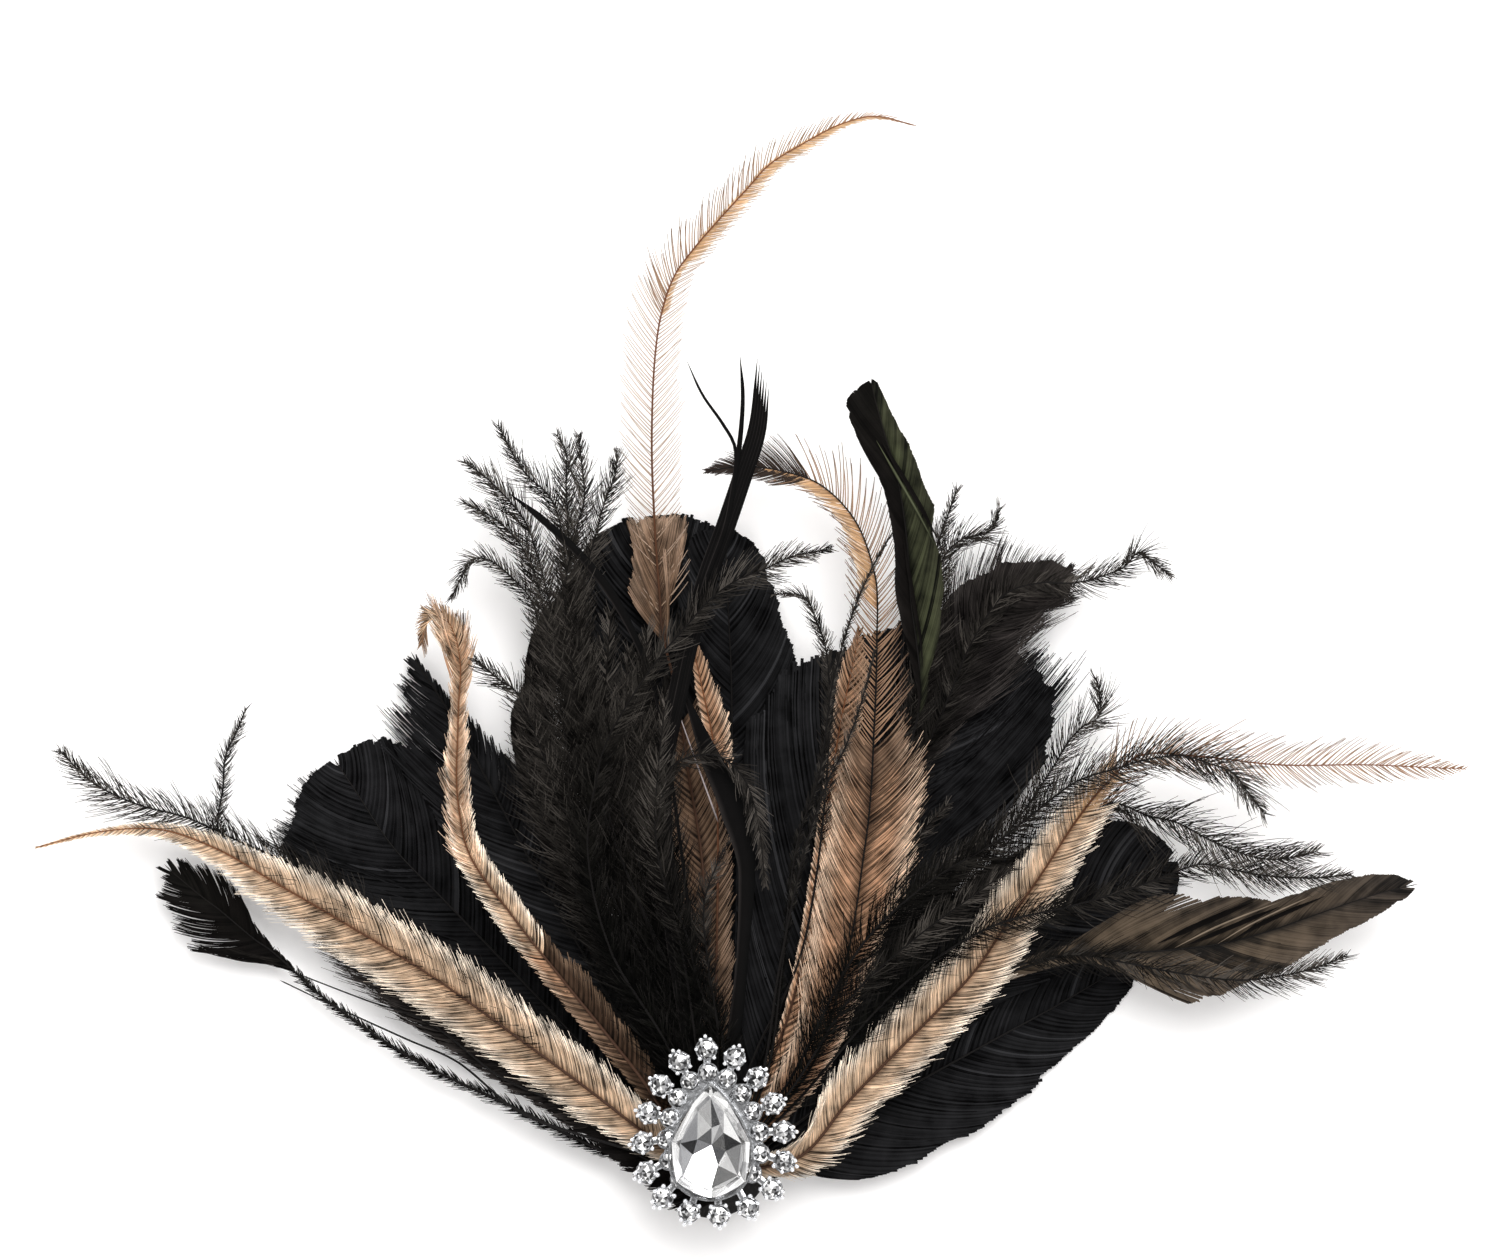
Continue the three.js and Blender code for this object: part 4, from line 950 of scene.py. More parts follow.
# %% The ostrich sprays
STRAND_QUILL = ("dark_quill", 0.34, 0.14)
STRAND_FULLNESS, STRAND_TIP, STRAND_STAGGER = 1.15, 0.4, 0.25
STRANDS = {
    "spray_left": (4, [
        (0.25, 3.6, [LEFT, (-15.6, 9), (-62, 40), (-93, 61), (-104, 66), (-115, 71), (-126, 74),
            (-136, 79), (-143, 86)]),
        (0.45, 1.6, [(-62, 40), (-101, 59), (-108, 67.5), (-107, 78), (-106.5, 84.5), (-104, 90),
            (-102, 95)]),
        (1, 0, [(-14, -3), (-38.7, 4.8), (-44, 7.7), (-55.7, 17.4), (-66.9, 22.4), (-83.6, 30),
            (-94.8, 35.4)]),
        (1, 0, [(-14, 0), (-32, 8), (-46, 14), (-62, 26), (-76, 31), (-90, 36.4)])]),
    "spray_middle": (5, [
        (0.12, 4.2, [CENTRE, (-16, 30), (-33, 62), (-40, 80), (-41.5, 92)]),
        (0.12, 4.2, [CENTRE, (-15, 32), (-30, 64), (-37, 86), (-40, 104)]),
        (0.12, 4.4, [CENTRE, (-14, 34), (-27, 64), (-34, 88), (-36, 110)]),
        (0.12, 4.4, [CENTRE, (-12, 34), (-25, 66), (-30, 90), (-31, 114)]),
        (0.12, 4.4, [CENTRE, (-10, 34), (-21, 64), (-26, 90), (-27, 112)]),
        (0.12, 4.4, [CENTRE, (-9, 34), (-18, 64), (-23, 92), (-22, 116)]),
        (0.12, 4.4, [CENTRE, (-7, 34), (-15, 64), (-19, 90), (-18, 108)]),
        (0.12, 4.0, [CENTRE, (-5, 34), (-12, 66), (-15, 92), (-14, 112)]),
        (0.12, 4.0, [CENTRE, (-3, 34), (-9, 66), (-12, 88), (-9, 102)])]),
    "spray_top": (6, [
        (0.4, 3.2, [CENTRE, (-5, 21), (-24, 64), (-31, 119), (-34.5, 140), (-41, 147), (-46.6, 157)]),
        (0.4, 3, [CENTRE, (-6, 21), (-26, 68), (-33, 108), (-38.5, 130), (-40.7, 136), (-48.6, 145),
            (-54, 149)]),
        (0.4, 3, [CENTRE, (-7, 21), (-28, 70), (-35, 108), (-40, 128), (-46.6, 136), (-54, 140)]),
        (0.5, 2.2, [CENTRE, (-8, 21), (-30, 70), (-36.5, 97), (-39, 118), (-44, 124), (-47.7, 127),
            (-51, 128), (-53, 127), (-55, 123), (-57, 119)]),
        (0.5, 3, [CENTRE, (-5, 24), (-22, 70), (-30, 119), (-31.7, 144), (-31.7, 151), (-33.7, 155)]),
        (0.5, 3, [CENTRE, (-5, 26), (-24, 74), (-32, 119), (-29.5, 134), (-27.7, 141), (-28, 146),
            (-29, 155)]),
        (0.5, 3, [CENTRE, (-4, 26), (-20, 74), (-29, 114), (-25, 134), (-23, 141), (-21, 146),
            (-20.5, 152)]),
        (0.3, 3.2, [CENTRE, (-9, 22), (-22, 46), (-36.5, 84), (-43, 99), (-46, 101), (-52, 106)])]),
    "spray_centre": (9, [
        (0.1, 2.9, [CENTRE, (-9, 20), (-22, 42), (-27, 64), (-25, 80), (-22.7, 88), (-17, 98),
            (-11.4, 106), (-5, 113.5), (0, 119), (5.5, 123), (12, 125.6), (17, 128), (26.4, 130)]),
        (0.1, 3, [CENTRE, (2.6, 23), (-2.3, 33.5), (-5.5, 45.8), (-8.8, 53.9), (-12.1, 66), (-11.7, 80),
            (-10, 96)]),
        (0.1, 1.8, [CENTRE, (1.5, 24), (-0.5, 38), (-1.5, 52), (1, 60), (4, 66)]),
        (0.55, 1.6, [CENTRE, (10, 20), (20, 42), (26, 92), (25, 109), (23.5, 113), (21, 119), (18.5, 120),
            (13.4, 120)]),
        (0.2, 2.4, [CENTRE, (-6, 40), (-12, 66), (-10.3, 77), (-8.8, 82), (-4, 84.5), (1.8, 84.5), (7, 80),
            (10, 72), (12, 56)])]),
    "spray_right_under": (4, [
        (0.5, 3, [RIGHT, (17, 20), (41.6, 84), (49, 110), (51, 128), (55, 132), (61.4, 134), (63.4, 139)]),
        (0.5, 3, [RIGHT, (17, 20), (40, 84), (47, 110), (49, 128), (54, 143)]),
        (0.4, 3, [RIGHT, (20, 30), (37, 64), (52, 97), (57, 109), (64.5, 120), (72, 122.5), (79.4, 122.5),
            (84.5, 123.6), (90.6, 126), (93.7, 129), (97, 127), (101, 124)]),
        (0.3, 3.4, [RIGHT, (17, 14), (41.6, 46), (63.6, 66), (75.7, 83), (78, 87), (81.6, 91), (85, 93),
            (85.4, 97.5), (84.5, 101.6)]),
        (0.3, 4.4, [RIGHT, (18, 12), (42, 42), (64, 60), (78, 70), (88, 74.2), (96, 71.4), (102, 70),
            (111, 65.4), (121, 62), (127, 62.2), (133, 63.6)]),
        (0.2, 3.4, [RIGHT, (14, 16), (24, 36), (38, 58), (52, 74)]),
        (0.2, 3.4, [RIGHT, (15, 14), (28, 34), (44, 54), (60, 68)])]),
    "spray_right_over": (10, [
        (0.15, 0.8, [RIGHT, (12, 14), (15.6, 38.5), (18.9, 65.3), (23.8, 80.7), (26.2, 98), (27.5, 104),
            (31, 115.7), (35.2, 125.6), (39.6, 133.3)]),
        (0.2, 4.2, [RIGHT, (17, 13), (33, 43), (48, 57), (63.6, 66.5), (70, 71.5), (80, 79), (89, 82),
            (96, 84), (103, 84.7), (109, 83), (114, 81), (117.5, 76.6), (121, 72)]),
        (0.2, 3.4, [RIGHT, (18, 12), (31, 32), (44, 44), (56, 53), (66, 60)]),
        (0.25, 3.2, [RIGHT, (18, 8), (41.6, 34), (61, 47), (80, 52), (94.6, 56.5), (101, 59), (107.6, 61),
            (113, 60), (121, 58.5), (131, 58), (140, 58.7)]),
        (0.54, 3, [RIGHT, (21, 2), (48, 29), (68.6, 39), (80, 41), (90.6, 39.4), (103, 37), (116, 35.6),
            (127, 37), (134, 39), (139, 41)], STALK_TUCK),
        (0.5, 0.8, [RIGHT, (11, 14), (15, 38), (20.6, 64), (25.7, 79.2), (29.3, 86.2), (32.8, 95.9),
            (36, 108)])]),
}
for seed, (node, (layer, strands)) in enumerate(STRANDS.items(), 400):
    rng = np.random.default_rng(seed)
    parts = []
    for order, (bare, reach, path, *tuck) in enumerate(strands):
        stations = [(x, y, STRAND_FULLNESS * reach, STRAND_FULLNESS * reach) for x, y in path]
        stations[-1] = (*path[-1], STRAND_TIP * reach, STRAND_TIP * reach)
        rows = [("ostrich", "ostrich", (bare, 1))] if reach else []
        height = layer + STRAND_STAGGER * (order % 3)
        parts += feather_parts(stations, height, rows, STRAND_QUILL, rng, *tuck)
    place_feather(node, parts)

# %% [markdown]
# ## The stiff black straps
#
# Goose biots are narrow straps that taper to a point. Each is a strip along its line, raised in the middle
# and grooved lengthwise, and its left edge is lighter, a painted highlight. The tall bundle is six of them
# side by side whose tips part like fingers, with two thin ones astray. Beside the broad blade in the middle
# lies a thin pale tube, a painted highlight along its left edge.

# %% The stiff black straps
BUNDLE_STEM = [(-4, 20), (-8, 45), (-10.6, 70), (-9.7, 86.5), (-7.3, 98), (-5, 108.5), (-1, 123),
               (3.4, 135.3), (7, 146)]
BUNDLE_COUNT, BUNDLE_STEP, BUNDLE_ACROSS = 6, 0.66, (0.94, -0.35)
FINGER_START, FINGER_END = ((8.7, 157), (0.58, -0.4)), ((10.2, 171.6), (0.5, -1.3))
ASTRAY_FROM = 8
BIOT_PROFILE = [(0, 0.9), (0.5, 1.0), (0.88, 0.95), (0.96, 0.7), (1, 0.08)]
LEFT_PROFILE = [(0, 0.3), (0.65, 0.4), (0.8, 1.0), (0.95, 0.8), (1, 0.08)]
BLADE_PROFILE = [(0, 1), (0.31, 1.5), (0.43, 1.3), (0.55, 1.7), (0.61, 1.9), (0.72, 3), (0.83, 2.4),
                 (1, 0.1)]
# A thin pale tube along the left edge of the blade, a painted highlight.
BLADE_EDGE_HIGHLIGHT = [(-8.4, 99), (-7.5, 95.5), (-4.2, 86), (-0.4, 75.5), (1.6, 70)]
EDGE_HIGHLIGHT_LIFT, EDGE_HIGHLIGHT_RADII = 0.4, (0.1, 0.2)
STRAP_PILE = 0.05


def finger_point(finger, strap):
    """A point near the tip of one strap of the bundle: the first strap's place and a step for each strap."""
    (x, y), (step_x, step_y) = finger
    return x + step_x * strap, y + step_y * strap


bundle = []
for strap in range(BUNDLE_COUNT):
    aside = (strap - (BUNDLE_COUNT - 1) / 2) * BUNDLE_STEP
    beside = [(x + BUNDLE_ACROSS[0] * aside, y + BUNDLE_ACROSS[1] * aside) for x, y in BUNDLE_STEM]
    tip = [finger_point(FINGER_START, strap), finger_point(FINGER_END, strap)]
    bundle.append((scaled_profile(BIOT_PROFILE, 0.5), [CENTRE] + beside + tip))
stem = BUNDLE_STEM[:ASTRAY_FROM]
bundle.append((scaled_profile(BIOT_PROFILE, 0.6), stem + [(5.6, 148), (6.6, 155.8), (7, 163.8), (6.4, 172)]))
bundle.append((scaled_profile(BIOT_PROFILE, 0.4), stem + [
    (5.2, 146), (5.2, 152.5), (2.6, 157.3), (-1.9, 163.8), (-5.3, 171.2)]))
STRAPS = {
    "biot_bundle": (8, 1, bundle),
    "biot_left": (7, 3, [(LEFT_PROFILE, [
        CENTRE, (-6, 60), (-13, 101), (-20.5, 118), (-28, 128), (-32, 132), (-37.6, 137), (-44, 142)])]),
    "biot_centre_blade": (7.5, 5, [(BLADE_PROFILE, [
        CENTRE, (3.5, 14), (5.7, 28.6), (7, 42), (7.8, 55), (7.7, 62), (4.6, 73.8), (-0.2, 84.5),
        (-6.4, 100)])]),
}
for node, (layer, folds, straps) in STRAPS.items():
    parts = []
    # The rib tube is the painted highlight on the blade's edge.
    if node == "biot_centre_blade":
        parts.append(("rib", *shaft_tube(smooth_line(BLADE_EDGE_HIGHLIGHT), layer + EDGE_HIGHLIGHT_LIFT, *EDGE_HIGHLIGHT_RADII)))
    for order, (profile, path) in enumerate(straps):
        parts.append(("biot", *strap_strip(smooth_line(path), profile, layer, folds, STRAP_PILE * order)))
    place_feather(node, parts)

# %% [markdown]
# ## The felt pad
#
# The quills are glued to an oval of black felt. A cylinder is stretched to the oval and its edges are
# rounded, and the fuzz is a fine bump.

# %% The felt pad
FELT_SCALE, FELT_RELIEF = 1800.0, 0.2 * MM
PAD_CORNERS, PAD_BEVEL = 64, 0.4 * MM


def add(primitive, **settings):
    """Adds a primitive with nothing else selected, and returns it."""
    bpy.ops.object.select_all(action="DESELECT")
    primitive(**settings)
    return bpy.context.object


def box_size(node):
    """Middle and size of a solid's box, in metres."""
    low, high = (np.array(corner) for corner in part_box(node))
    return (low + high) / 2, high - low


def start_edit():
    """Opens the active piece for editing, with all of it selected."""
    bpy.ops.object.mode_set(mode="EDIT")
    bpy.ops.mesh.select_all(action="SELECT")


def end_edit():
    """Goes back to object mode."""
    bpy.ops.object.mode_set(mode="OBJECT")


def settle(piece):
    """Moves a piece's place into its mesh, so that it sits at the origin, unturned and unscaled."""
    bpy.ops.object.select_all(action="DESELECT")
    piece.select_set(True)
    bpy.context.view_layer.objects.active = piece
    bpy.ops.object.transform_apply(location=True, rotation=True, scale=True)


felt, felt_tree, felt_shader = new_material("felt_black")
felt_fuzz = noise_on(felt_tree, FELT_SCALE)
felt_colour = felt_tree.nodes.new("ShaderNodeValToRGB")
felt_colour.color_ramp.elements[0].color = linear(12, 11, 11)
felt_colour.color_ramp.elements[1].color = linear(38, 36, 35)
felt_tree.links.new(felt_fuzz, felt_colour.inputs["Fac"])
felt_tree.links.new(felt_colour.outputs["Color"], felt_shader.inputs["Base Color"])
add_relief(felt_tree, felt_shader, felt_fuzz, 1.0, FELT_RELIEF)
set_inputs(felt_shader, {"Roughness": 0.95})

pad_centre, pad_size = box_size("felt_pad")
pad = add(bpy.ops.mesh.primitive_cylinder_add, vertices=PAD_CORNERS, radius=0.5, depth=1,
          location=pad_centre)
pad.name = "felt_oval"
pad.scale = pad_size
settle(pad)
start_edit()
bpy.ops.mesh.bevel(offset=PAD_BEVEL, segments=3)
end_edit()
bpy.ops.object.shade_smooth_by_angle(angle=math.radians(40))
pad.data.materials.append(felt)
dress(pad, "felt_pad")
print("felt oval:", np.round(pad_size / MM, 1), "mm")

# %% [markdown]
# ## Silver, foil and crystal
#
# The setting is cast metal with a bright plating, worn a little all over. Paste stones glitter because
# a mirror foil lies behind their glass and every facet throws back another part of the room. A facet's
# share of the light is kept as a number called tone on each face, and the foil's colour reads it.

# %% Silver, foil and crystal
WEAR_STRENGTH, WEAR_DEPTH = 0.6, 0.03 * MM


def metal_material(name, colour, rough_low, rough_high, grain):
    """A metal whose roughness and fine relief follow a noise, the wear."""
    material, tree, shader = new_material(name)
    wear = noise_on(tree, grain)
    spread = tree.nodes.new("ShaderNodeMapRange")
    set_inputs(spread, {"To Min": rough_low, "To Max": rough_high})
    tree.links.new(wear, spread.inputs["Value"])
    tree.links.new(spread.outputs["Result"], shader.inputs["Roughness"])
    add_relief(tree, shader, wear, WEAR_STRENGTH, WEAR_DEPTH)
    set_inputs(shader, {"Base Color": colour, "Metallic": 1.0})
    return material


silver = metal_material("silver", (0.86, 0.87, 0.89, 1), 0.1, 0.36, 900.0)
steel = metal_material("steel", (0.6, 0.61, 0.63, 1), 0.2, 0.45, 500.0)
foil = metal_material("mirror_foil", (0.9, 0.91, 0.93, 1), 0.03, 0.1, 300.0)
# The foil's colour reads each facet's tone, a painted reflection.
foil_tone = foil.node_tree.nodes.new("ShaderNodeAttribute")
foil_tone.attribute_name = "tone"
foil_shader = foil.node_tree.nodes["Principled BSDF"]
foil.node_tree.links.new(foil_tone.outputs["Fac"], foil_shader.inputs["Base Color"])

crystal, _, crystal_shader = new_material("crystal")
set_inputs(crystal_shader, {
    "Base Color": (1, 1, 1, 1), "Roughness": 0.0, "IOR": 1.5, "Transmission Weight": 1.0})


def paint_facet_reflections(piece, tones):
    """Keeps a tone, the painted reflection of a facet, on every face of a piece."""
    attribute = piece.data.attributes.new("tone", "FLOAT", "FACE")
    attribute.data.foreach_set("value", np.asarray(tones, np.float32))


print("metals and glass:", silver.name, foil.name, steel.name, crystal.name)

# %% [markdown]
# ## Outlines of the brooch
#
# The middle of the brooch is a pear, and its outline is one formula. The stones around it stand on two
# egg-shaped lines that are turned a little to the left. Sixteen rays are spread evenly along the outer one.

# %% Outlines of the brooch
PEAR_HALF_WIDTH, PEAR_HALF_HEIGHT, PEAR_FULLNESS = 9.0, 12.5, 0.8
PEAR_WIDEST = 0.803
TURN_STEP, EGG_SAMPLES = 0.01, 721
RAY_COUNT = 16
RAY_CENTRE, RAY_EGG, RAY_TURN = (0.4, 2.2), 0.22, 0.077
PLATE_LINE, INNER_LINE, OUTER_LINE = (10.6, 13.6), (10.1, 13.1), (15.3, 18.2)


def pear_point(turn, offset=0.0):
    """A point on the pear's outline, or a distance outside it. Turn 0 is the point of the pear."""
    def at(angle):
        wide = PEAR_HALF_WIDTH / PEAR_WIDEST * math.sin(angle) * abs(math.sin(angle / 2)) ** PEAR_FULLNESS
        return np.array([wide, PEAR_HALF_HEIGHT * math.cos(angle)])

    run = at(turn + TURN_STEP) - at(turn - TURN_STEP)
    run /= np.linalg.norm(run)
    return at(turn) + offset * leftward(run)


def egg_point(turn, line):
    """A point on an egg-shaped line of the given half width and half height."""
    x = line[0] * math.sin(turn) * (1 - RAY_EGG * math.cos(turn))
    y = line[1] * math.cos(turn)
    cos, sin = math.cos(RAY_TURN), math.sin(RAY_TURN)
    return np.array([RAY_CENTRE[0] + x * cos - y * sin, RAY_CENTRE[1] + x * sin + y * cos])


def spread_turns():
    """Turns of rays spread evenly along the line of the outer stones."""
    turns = np.linspace(0, 2 * math.pi, EGG_SAMPLES)
    places = np.array([egg_point(turn, OUTER_LINE) for turn in turns])
    walked = np.concatenate([[0], np.cumsum(np.linalg.norm(np.diff(places, axis=0), axis=1))])
    return np.interp(np.arange(RAY_COUNT) * walked[-1] / RAY_COUNT, walked, turns)


RAY_TURNS = spread_turns()
print("turns of the rays:", np.round(np.degrees(RAY_TURNS)))

# %% [markdown]
# ## Tools for cast and cut pieces
#
# Plate, cups and stones are all made in the same few moves. A circle is pulled to an outline, its top is
# extruded, drawn in and turned, and a finished model is copied to its places and joined with the others.

# %% Tools for cast and cut pieces
FLAT_TOP = 0.9


def add_disc(name, corners, height, outline):
    """A filled circle pulled to an outline, which gives a point for a turn, at a height in millimetres."""
    disc = add(bpy.ops.mesh.primitive_circle_add, vertices=corners, radius=1, fill_type="NGON")
    disc.name = name
    for vertex in disc.data.vertices:
        x, y = outline(math.atan2(vertex.co.x, vertex.co.y))
        vertex.co = (x * MM, y * MM, height * MM)
    return disc


def raise_top(height, scale=1.0, centre=(0.0, 0.0, 0.0), turn=0.0):
    """Extrudes the selected faces by a height in millimetres, then scales and turns them."""
    bpy.ops.mesh.extrude_region_move(TRANSFORM_OT_translate={"value": (0, 0, height * MM)})
    if scale != 1.0:
        bpy.ops.transform.resize(value=(scale, scale, 1), center_override=centre)
    if turn:
        bpy.ops.transform.rotate(value=turn, orient_axis="Z", center_override=centre)


def face_outward():
    """Selects all of the edited piece and turns its normals outward."""
    bpy.ops.mesh.select_all(action="SELECT")
    bpy.ops.mesh.normals_make_consistent(inside=False)


def split_facets():
    """Splits every face of the edited piece into triangles and turns the normals outward."""
    bpy.ops.mesh.select_all(action="SELECT")
    bpy.ops.mesh.quads_convert_to_tris(quad_method="FIXED", ngon_method="CLIP")
    face_outward()


def select_top(piece):
    """Selects the flat faces that look up, and leaves the piece in edit mode."""
    start_edit()
    bpy.ops.mesh.select_all(action="DESELECT")
    end_edit()
    for face in piece.data.polygons:
        face.select = face.normal.z > FLAT_TOP
    bpy.ops.object.mode_set(mode="EDIT")


def copy_to(model, place, turn=0.0):
    """A copy of a modelled piece with its own mesh, at a place in millimetres."""
    copy = model.copy()
    copy.data = model.data.copy()
    copy.location = [value * MM for value in place]
    copy.rotation_euler = (0, 0, turn)
    bpy.context.scene.collection.objects.link(copy)
    return copy


def join(name, pieces):
    """Joins pieces into one object at the origin."""
    bpy.ops.object.select_all(action="DESELECT")
    for piece in pieces:
        piece.select_set(True)
    bpy.context.view_layer.objects.active = pieces[0]
    bpy.ops.object.transform_apply(location=True, rotation=True, scale=True)
    bpy.ops.object.join()
    joined = bpy.context.object
    joined.name = name
    return joined


BROOCH_BASE, BROOCH_TOP = (corner[2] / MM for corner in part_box("stone_halo"))
print("the brooch stands from", round(BROOCH_BASE, 1), "to", round(BROOCH_TOP, 1), "mm")

# %% [markdown]
# ## The setting
#
# The plate and the wall of the pear's cup are discs that were extruded. One stone cup, one claw and one
# ray bar are modelled, and each is copied around the pear. At the bottom the pear covers the inner line, so
# the inner stones stop there.

# %% The setting
DISC_CORNERS = 64
PLATE_THICK = 1.0
CUP_FLOOR = BROOCH_BASE + PLATE_THICK - 0.1
GIRDLE_HEIGHT = BROOCH_BASE + 4.9
WALL_OUTSET, WALL_THICK, RIM_DROP, BED_RISE = 0.45, 0.5, 0.3, 0.5
INNER_RADIUS, OUTER_RADIUS, INNER_COVERED = 1.95, 2.15, -0.8
CUP_WALL, CUP_HEIGHT, CUP_DEPTH, CUP_BOTTOM = 0.28, 1.1, 0.85, 0.45
CLAW_FOOT, CLAW_NECK, CLAW_LENGTH, BEAD_RADIUS, CLAW_RISE = 0.42, 0.3, 1.6, 0.52, 1.0
BAR_WIDTH, BAR_BEVEL, BAR_EXTRA, BAR_SHIFT = 1.7, 0.3, 3.4, 0.6
CLAWS = ((0.0, 2.9), (0.45, 2.4), (-0.45, 2.4), (1.5, 2.2), (-1.5, 2.2), (2.45, 2.5), (-2.45, 2.5))


def model_cup(radius):
    """A stone cup: a short cylinder whose top is inset and pushed down."""
    cup = add(bpy.ops.mesh.primitive_cylinder_add, vertices=20, radius=(radius + CUP_WALL) * MM,
              depth=CUP_HEIGHT * MM)
    select_top(cup)
    bpy.ops.mesh.inset(thickness=CUP_WALL * MM)
    raise_top(-CUP_DEPTH * CUP_HEIGHT, scale=CUP_BOTTOM)
    end_edit()
    return cup


def model_claw():
    """A claw: a short tapered peg with a rounded bead on top."""
    claw = add(bpy.ops.mesh.primitive_cone_add, vertices=12, radius1=CLAW_FOOT * MM, radius2=CLAW_NECK * MM,
               depth=CLAW_LENGTH * MM)
    bead = add(bpy.ops.mesh.primitive_uv_sphere_add, segments=12, ring_count=8, radius=BEAD_RADIUS * MM,
               location=(0, 0, CLAW_LENGTH / 2 * MM))
    return join("claw", [claw, bead])


def model_bar(length):
    """A ray bar: a block with rounded edges under the two stones of a ray."""
    bar = add(bpy.ops.mesh.primitive_cube_add, size=1)
    bar.scale = (length * MM, BAR_WIDTH * MM, PLATE_THICK * MM)
    settle(bar)
    start_edit()
    bpy.ops.mesh.bevel(offset=BAR_BEVEL * MM, segments=2)
    end_edit()
    return bar


def beyond(place, heading, distance):
    """The point at a distance from a place along a heading."""
    return place + distance * np.array([math.cos(heading), math.sin(heading)])


plate = add_disc("brooch_plate", DISC_CORNERS, BROOCH_BASE, lambda turn: egg_point(turn, PLATE_LINE))
start_edit()
raise_top(PLATE_THICK)
face_outward()
end_edit()
wall = add_disc("brooch_wall", DISC_CORNERS, CUP_FLOOR, lambda turn: pear_point(turn, WALL_OUTSET))
start_edit()
raise_top(GIRDLE_HEIGHT - CUP_FLOOR - RIM_DROP)
bpy.ops.mesh.inset(thickness=WALL_THICK * MM)
raise_top(CUP_FLOOR - GIRDLE_HEIGHT + BED_RISE)
face_outward()
end_edit()

metal = [plate, wall]
inner_cup, outer_cup = model_cup(INNER_RADIUS), model_cup(OUTER_RADIUS)
claw_model = model_claw()
bar_model = model_bar(OUTER_LINE[0] - INNER_LINE[0] + BAR_EXTRA)
for turn in RAY_TURNS:
    inner, outer = egg_point(turn, INNER_LINE), egg_point(turn, OUTER_LINE)
    heading = math.atan2(*(outer - inner)[::-1])
    middle = beyond((inner + outer) / 2, heading, BAR_SHIFT)
    metal.append(copy_to(bar_model, (*middle, BROOCH_BASE + PLATE_THICK / 2), heading))
    metal.append(copy_to(outer_cup, (*outer, CUP_FLOOR + CUP_HEIGHT / 2), heading))
    if math.cos(turn) > INNER_COVERED:
        metal.append(copy_to(inner_cup, (*inner, CUP_FLOOR + CUP_HEIGHT / 2), heading))
    for spread, reach in CLAWS:
        place = beyond(outer, heading + spread, reach)
        metal.append(copy_to(claw_model, (*place, CUP_FLOOR + CLAW_RISE), heading))
for model in (inner_cup, outer_cup, claw_model, bar_model):
    bpy.data.objects.remove(model)
setting = join("brooch_setting", metal)
bpy.ops.object.shade_smooth_by_angle(angle=math.radians(35))
setting.data.materials.append(silver)
dress(setting, "stone_halo")
print("setting faces:", len(setting.data.polygons))

# %% [markdown]
# ## The round stones of the rays
#
# A round stone is a ten-sided drum. Its top is drawn in twice and then to a low point, and each ring is
# turned half a step so that the faces between become triangles. The tones of the facets are painted
# reflections, drawn by lot from a few values, dark to bright, because neighbouring facets never look alike.
# Extruding may number the faces in another order in every run, so the lots are handed out by the faces'
# places.

# %% The round stones of the rays
STONE_SIDES, STONE_DRUM = 10, 0.3
STONE_RINGS, STONE_POINT = ((0.16, 0.8), (0.12, 0.6)), 0.12
STONE_LIFT, STONE_TWIST = 0.1, 0.7
# Tones of the round stones' facets: painted reflections.
STONE_REFLECTION_TONES = (0.05, 0.18, 0.45, 0.8, 1.0)


def model_round_stone(radius):
    """A cut stone. Its rings give the rise and the scale of each step as shares."""
    stone = add(bpy.ops.mesh.primitive_cylinder_add, vertices=STONE_SIDES, radius=radius * MM,
                depth=STONE_DRUM * radius * MM)
    select_top(stone)
    for rise, scale in STONE_RINGS:
        raise_top(rise * radius, scale=scale, turn=math.pi / STONE_SIDES)
    raise_top(STONE_POINT * radius)
    bpy.ops.mesh.merge(type="CENTER")
    split_facets()
    end_edit()
    return stone


def facets_by_place(piece):
    """The numbers of a piece's faces in the order of their places."""
    places = [[round(value / MM, 3) for value in face.center] for face in piece.data.polygons]
    return sorted(range(len(places)), key=lambda index: places[index])


stones = []
for radius, line, lowest in ((INNER_RADIUS, INNER_LINE, INNER_COVERED), (OUTER_RADIUS, OUTER_LINE, -2)):
    model = model_round_stone(radius)
    for order, turn in enumerate(RAY_TURNS):
        if math.cos(turn) > lowest:
            place = (*egg_point(turn, line), CUP_FLOOR + CUP_HEIGHT + STONE_LIFT)
            stones.append(copy_to(model, place, STONE_TWIST * order))
    bpy.data.objects.remove(model)
stone_count = len(stones)
ray_stones = join("ray_stones", stones)
ray_stones.data.materials.append(foil)
facet_count = len(ray_stones.data.polygons)
tones = np.empty(facet_count)
tones[facets_by_place(ray_stones)] = np.random.default_rng(500).choice(STONE_REFLECTION_TONES, facet_count)
paint_facet_reflections(ray_stones, tones)
dress(ray_stones, "stone_halo")
print("round stones:", stone_count, "with", facet_count, "facets")

# %% [markdown]
# ## The pear stone
#
# The large stone is a clear crown over a foil dish. The crown is a sixteen-cornered pear that rises in two
# steps to a wide table. The dish has eight corners and falls in three rings to its deepest point, which
# gives the big kites that show through the table. Their tones, painted reflections, are charted clockwise
# from the pear's point.

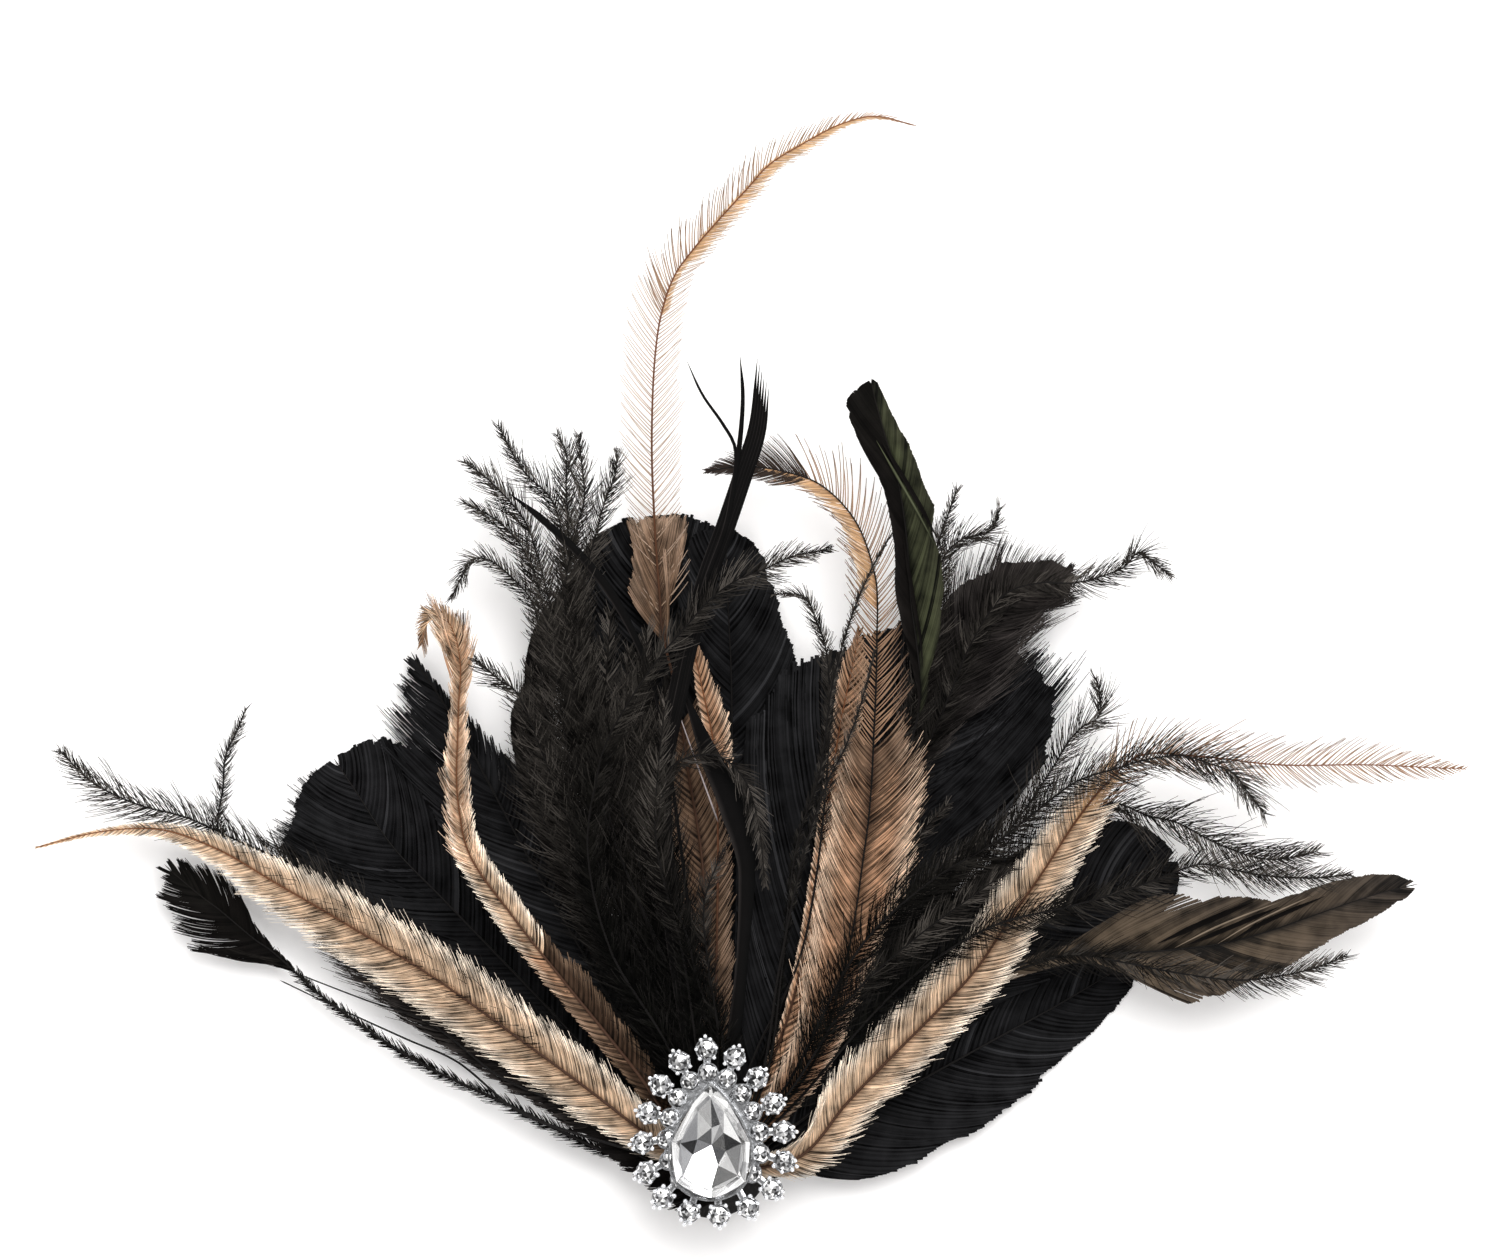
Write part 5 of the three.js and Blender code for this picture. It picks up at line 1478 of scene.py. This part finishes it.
# %% The pear stone
PEAR_CORNERS, PEAR_MIDDLE = 16, (0.0, -1.0 * MM, 0.0)
_, PEAR_TOP = (corner[2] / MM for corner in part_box("pear_stone"))
GIRDLE_EDGE, CROWN_STEP = 0.4, 1.2
DISH_CORNERS, DISH_INSET, DISH_FLOOR, DISH_HEIGHT = 8, -0.1, 3.4, 3.3
RIM_FALL, KITE_FALL, HEART_FALL = -0.6, -1.2, -1.2
RIM_DEPTH, KITE_DEPTH, FACING_UP, HIDDEN_TONE = 0.75, 2.0, 0.3, 0.5
# Tones of the pear's foil facets: painted reflections.
DISH_REFLECTION_TONES = {
    "rim": (0.6, 0.95, 1, 0.7, 1, 0.6, 1, 0.5, 0.95, 0.7, 1, 0.85, 0.6, 1, 0.8, 0.6),
    "kites": (0.45, 0.7, 0.6, 0.75, 0.08, 0.3, 0.9, 0.15, 0.9, 0.6, 1, 1, 0.07, 0.7, 0.6, 0.45),
    "heart": (0.7, 0.5, 0.1, 0.25, 0.9, 1, 0.6, 0.3),
}

crown = add_disc("pear_crystal", PEAR_CORNERS, GIRDLE_HEIGHT, pear_point)
start_edit()
raise_top(GIRDLE_EDGE)
raise_top(CROWN_STEP, scale=0.88, centre=PEAR_MIDDLE)
raise_top(PEAR_TOP - GIRDLE_HEIGHT - (GIRDLE_EDGE + CROWN_STEP), scale=0.9, centre=PEAR_MIDDLE)
split_facets()
end_edit()
crown.data.materials.append(crystal)
dress(crown, "pear_stone")

dish = add_disc("pear_foil", DISH_CORNERS, GIRDLE_HEIGHT - DISH_FLOOR,
                lambda turn: pear_point(turn, DISH_INSET))
start_edit()
raise_top(DISH_HEIGHT)
raise_top(RIM_FALL, scale=0.8, centre=PEAR_MIDDLE)
raise_top(KITE_FALL, scale=0.5, centre=PEAR_MIDDLE, turn=math.pi / DISH_CORNERS)
raise_top(HEART_FALL)
bpy.ops.mesh.merge(type="CENTER")
split_facets()
end_edit()
dish.data.materials.append(foil)
facets = {ring: [] for ring in DISH_REFLECTION_TONES}
for face in dish.data.polygons:
    depth = GIRDLE_HEIGHT - face.center.z / MM
    clockwise = math.atan2(face.center.x, face.center.y - PEAR_MIDDLE[1]) % (2 * math.pi)
    if face.normal.z > FACING_UP:
        ring = "rim" if depth < RIM_DEPTH else "kites" if depth < KITE_DEPTH else "heart"
        facets[ring].append((clockwise, face.index))
tones = np.full(len(dish.data.polygons), HIDDEN_TONE)
for ring, members in facets.items():
    for tone, (_, index) in zip(DISH_REFLECTION_TONES[ring], sorted(members)):
        tones[index] = tone
paint_facet_reflections(dish, tones)
dress(dish, "pear_stone")
print("pear stone facets:", {ring: len(members) for ring, members in facets.items()})

# %% [markdown]
# ## The hair clip
#
# The clip behind the pad keeps the shape of its solid and only gets its steel.

# %% The hair clip
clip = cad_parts["hair_clip"]
clip.data.materials.clear()
clip.data.materials.append(steel)
print("clip in steel:", clip.name)
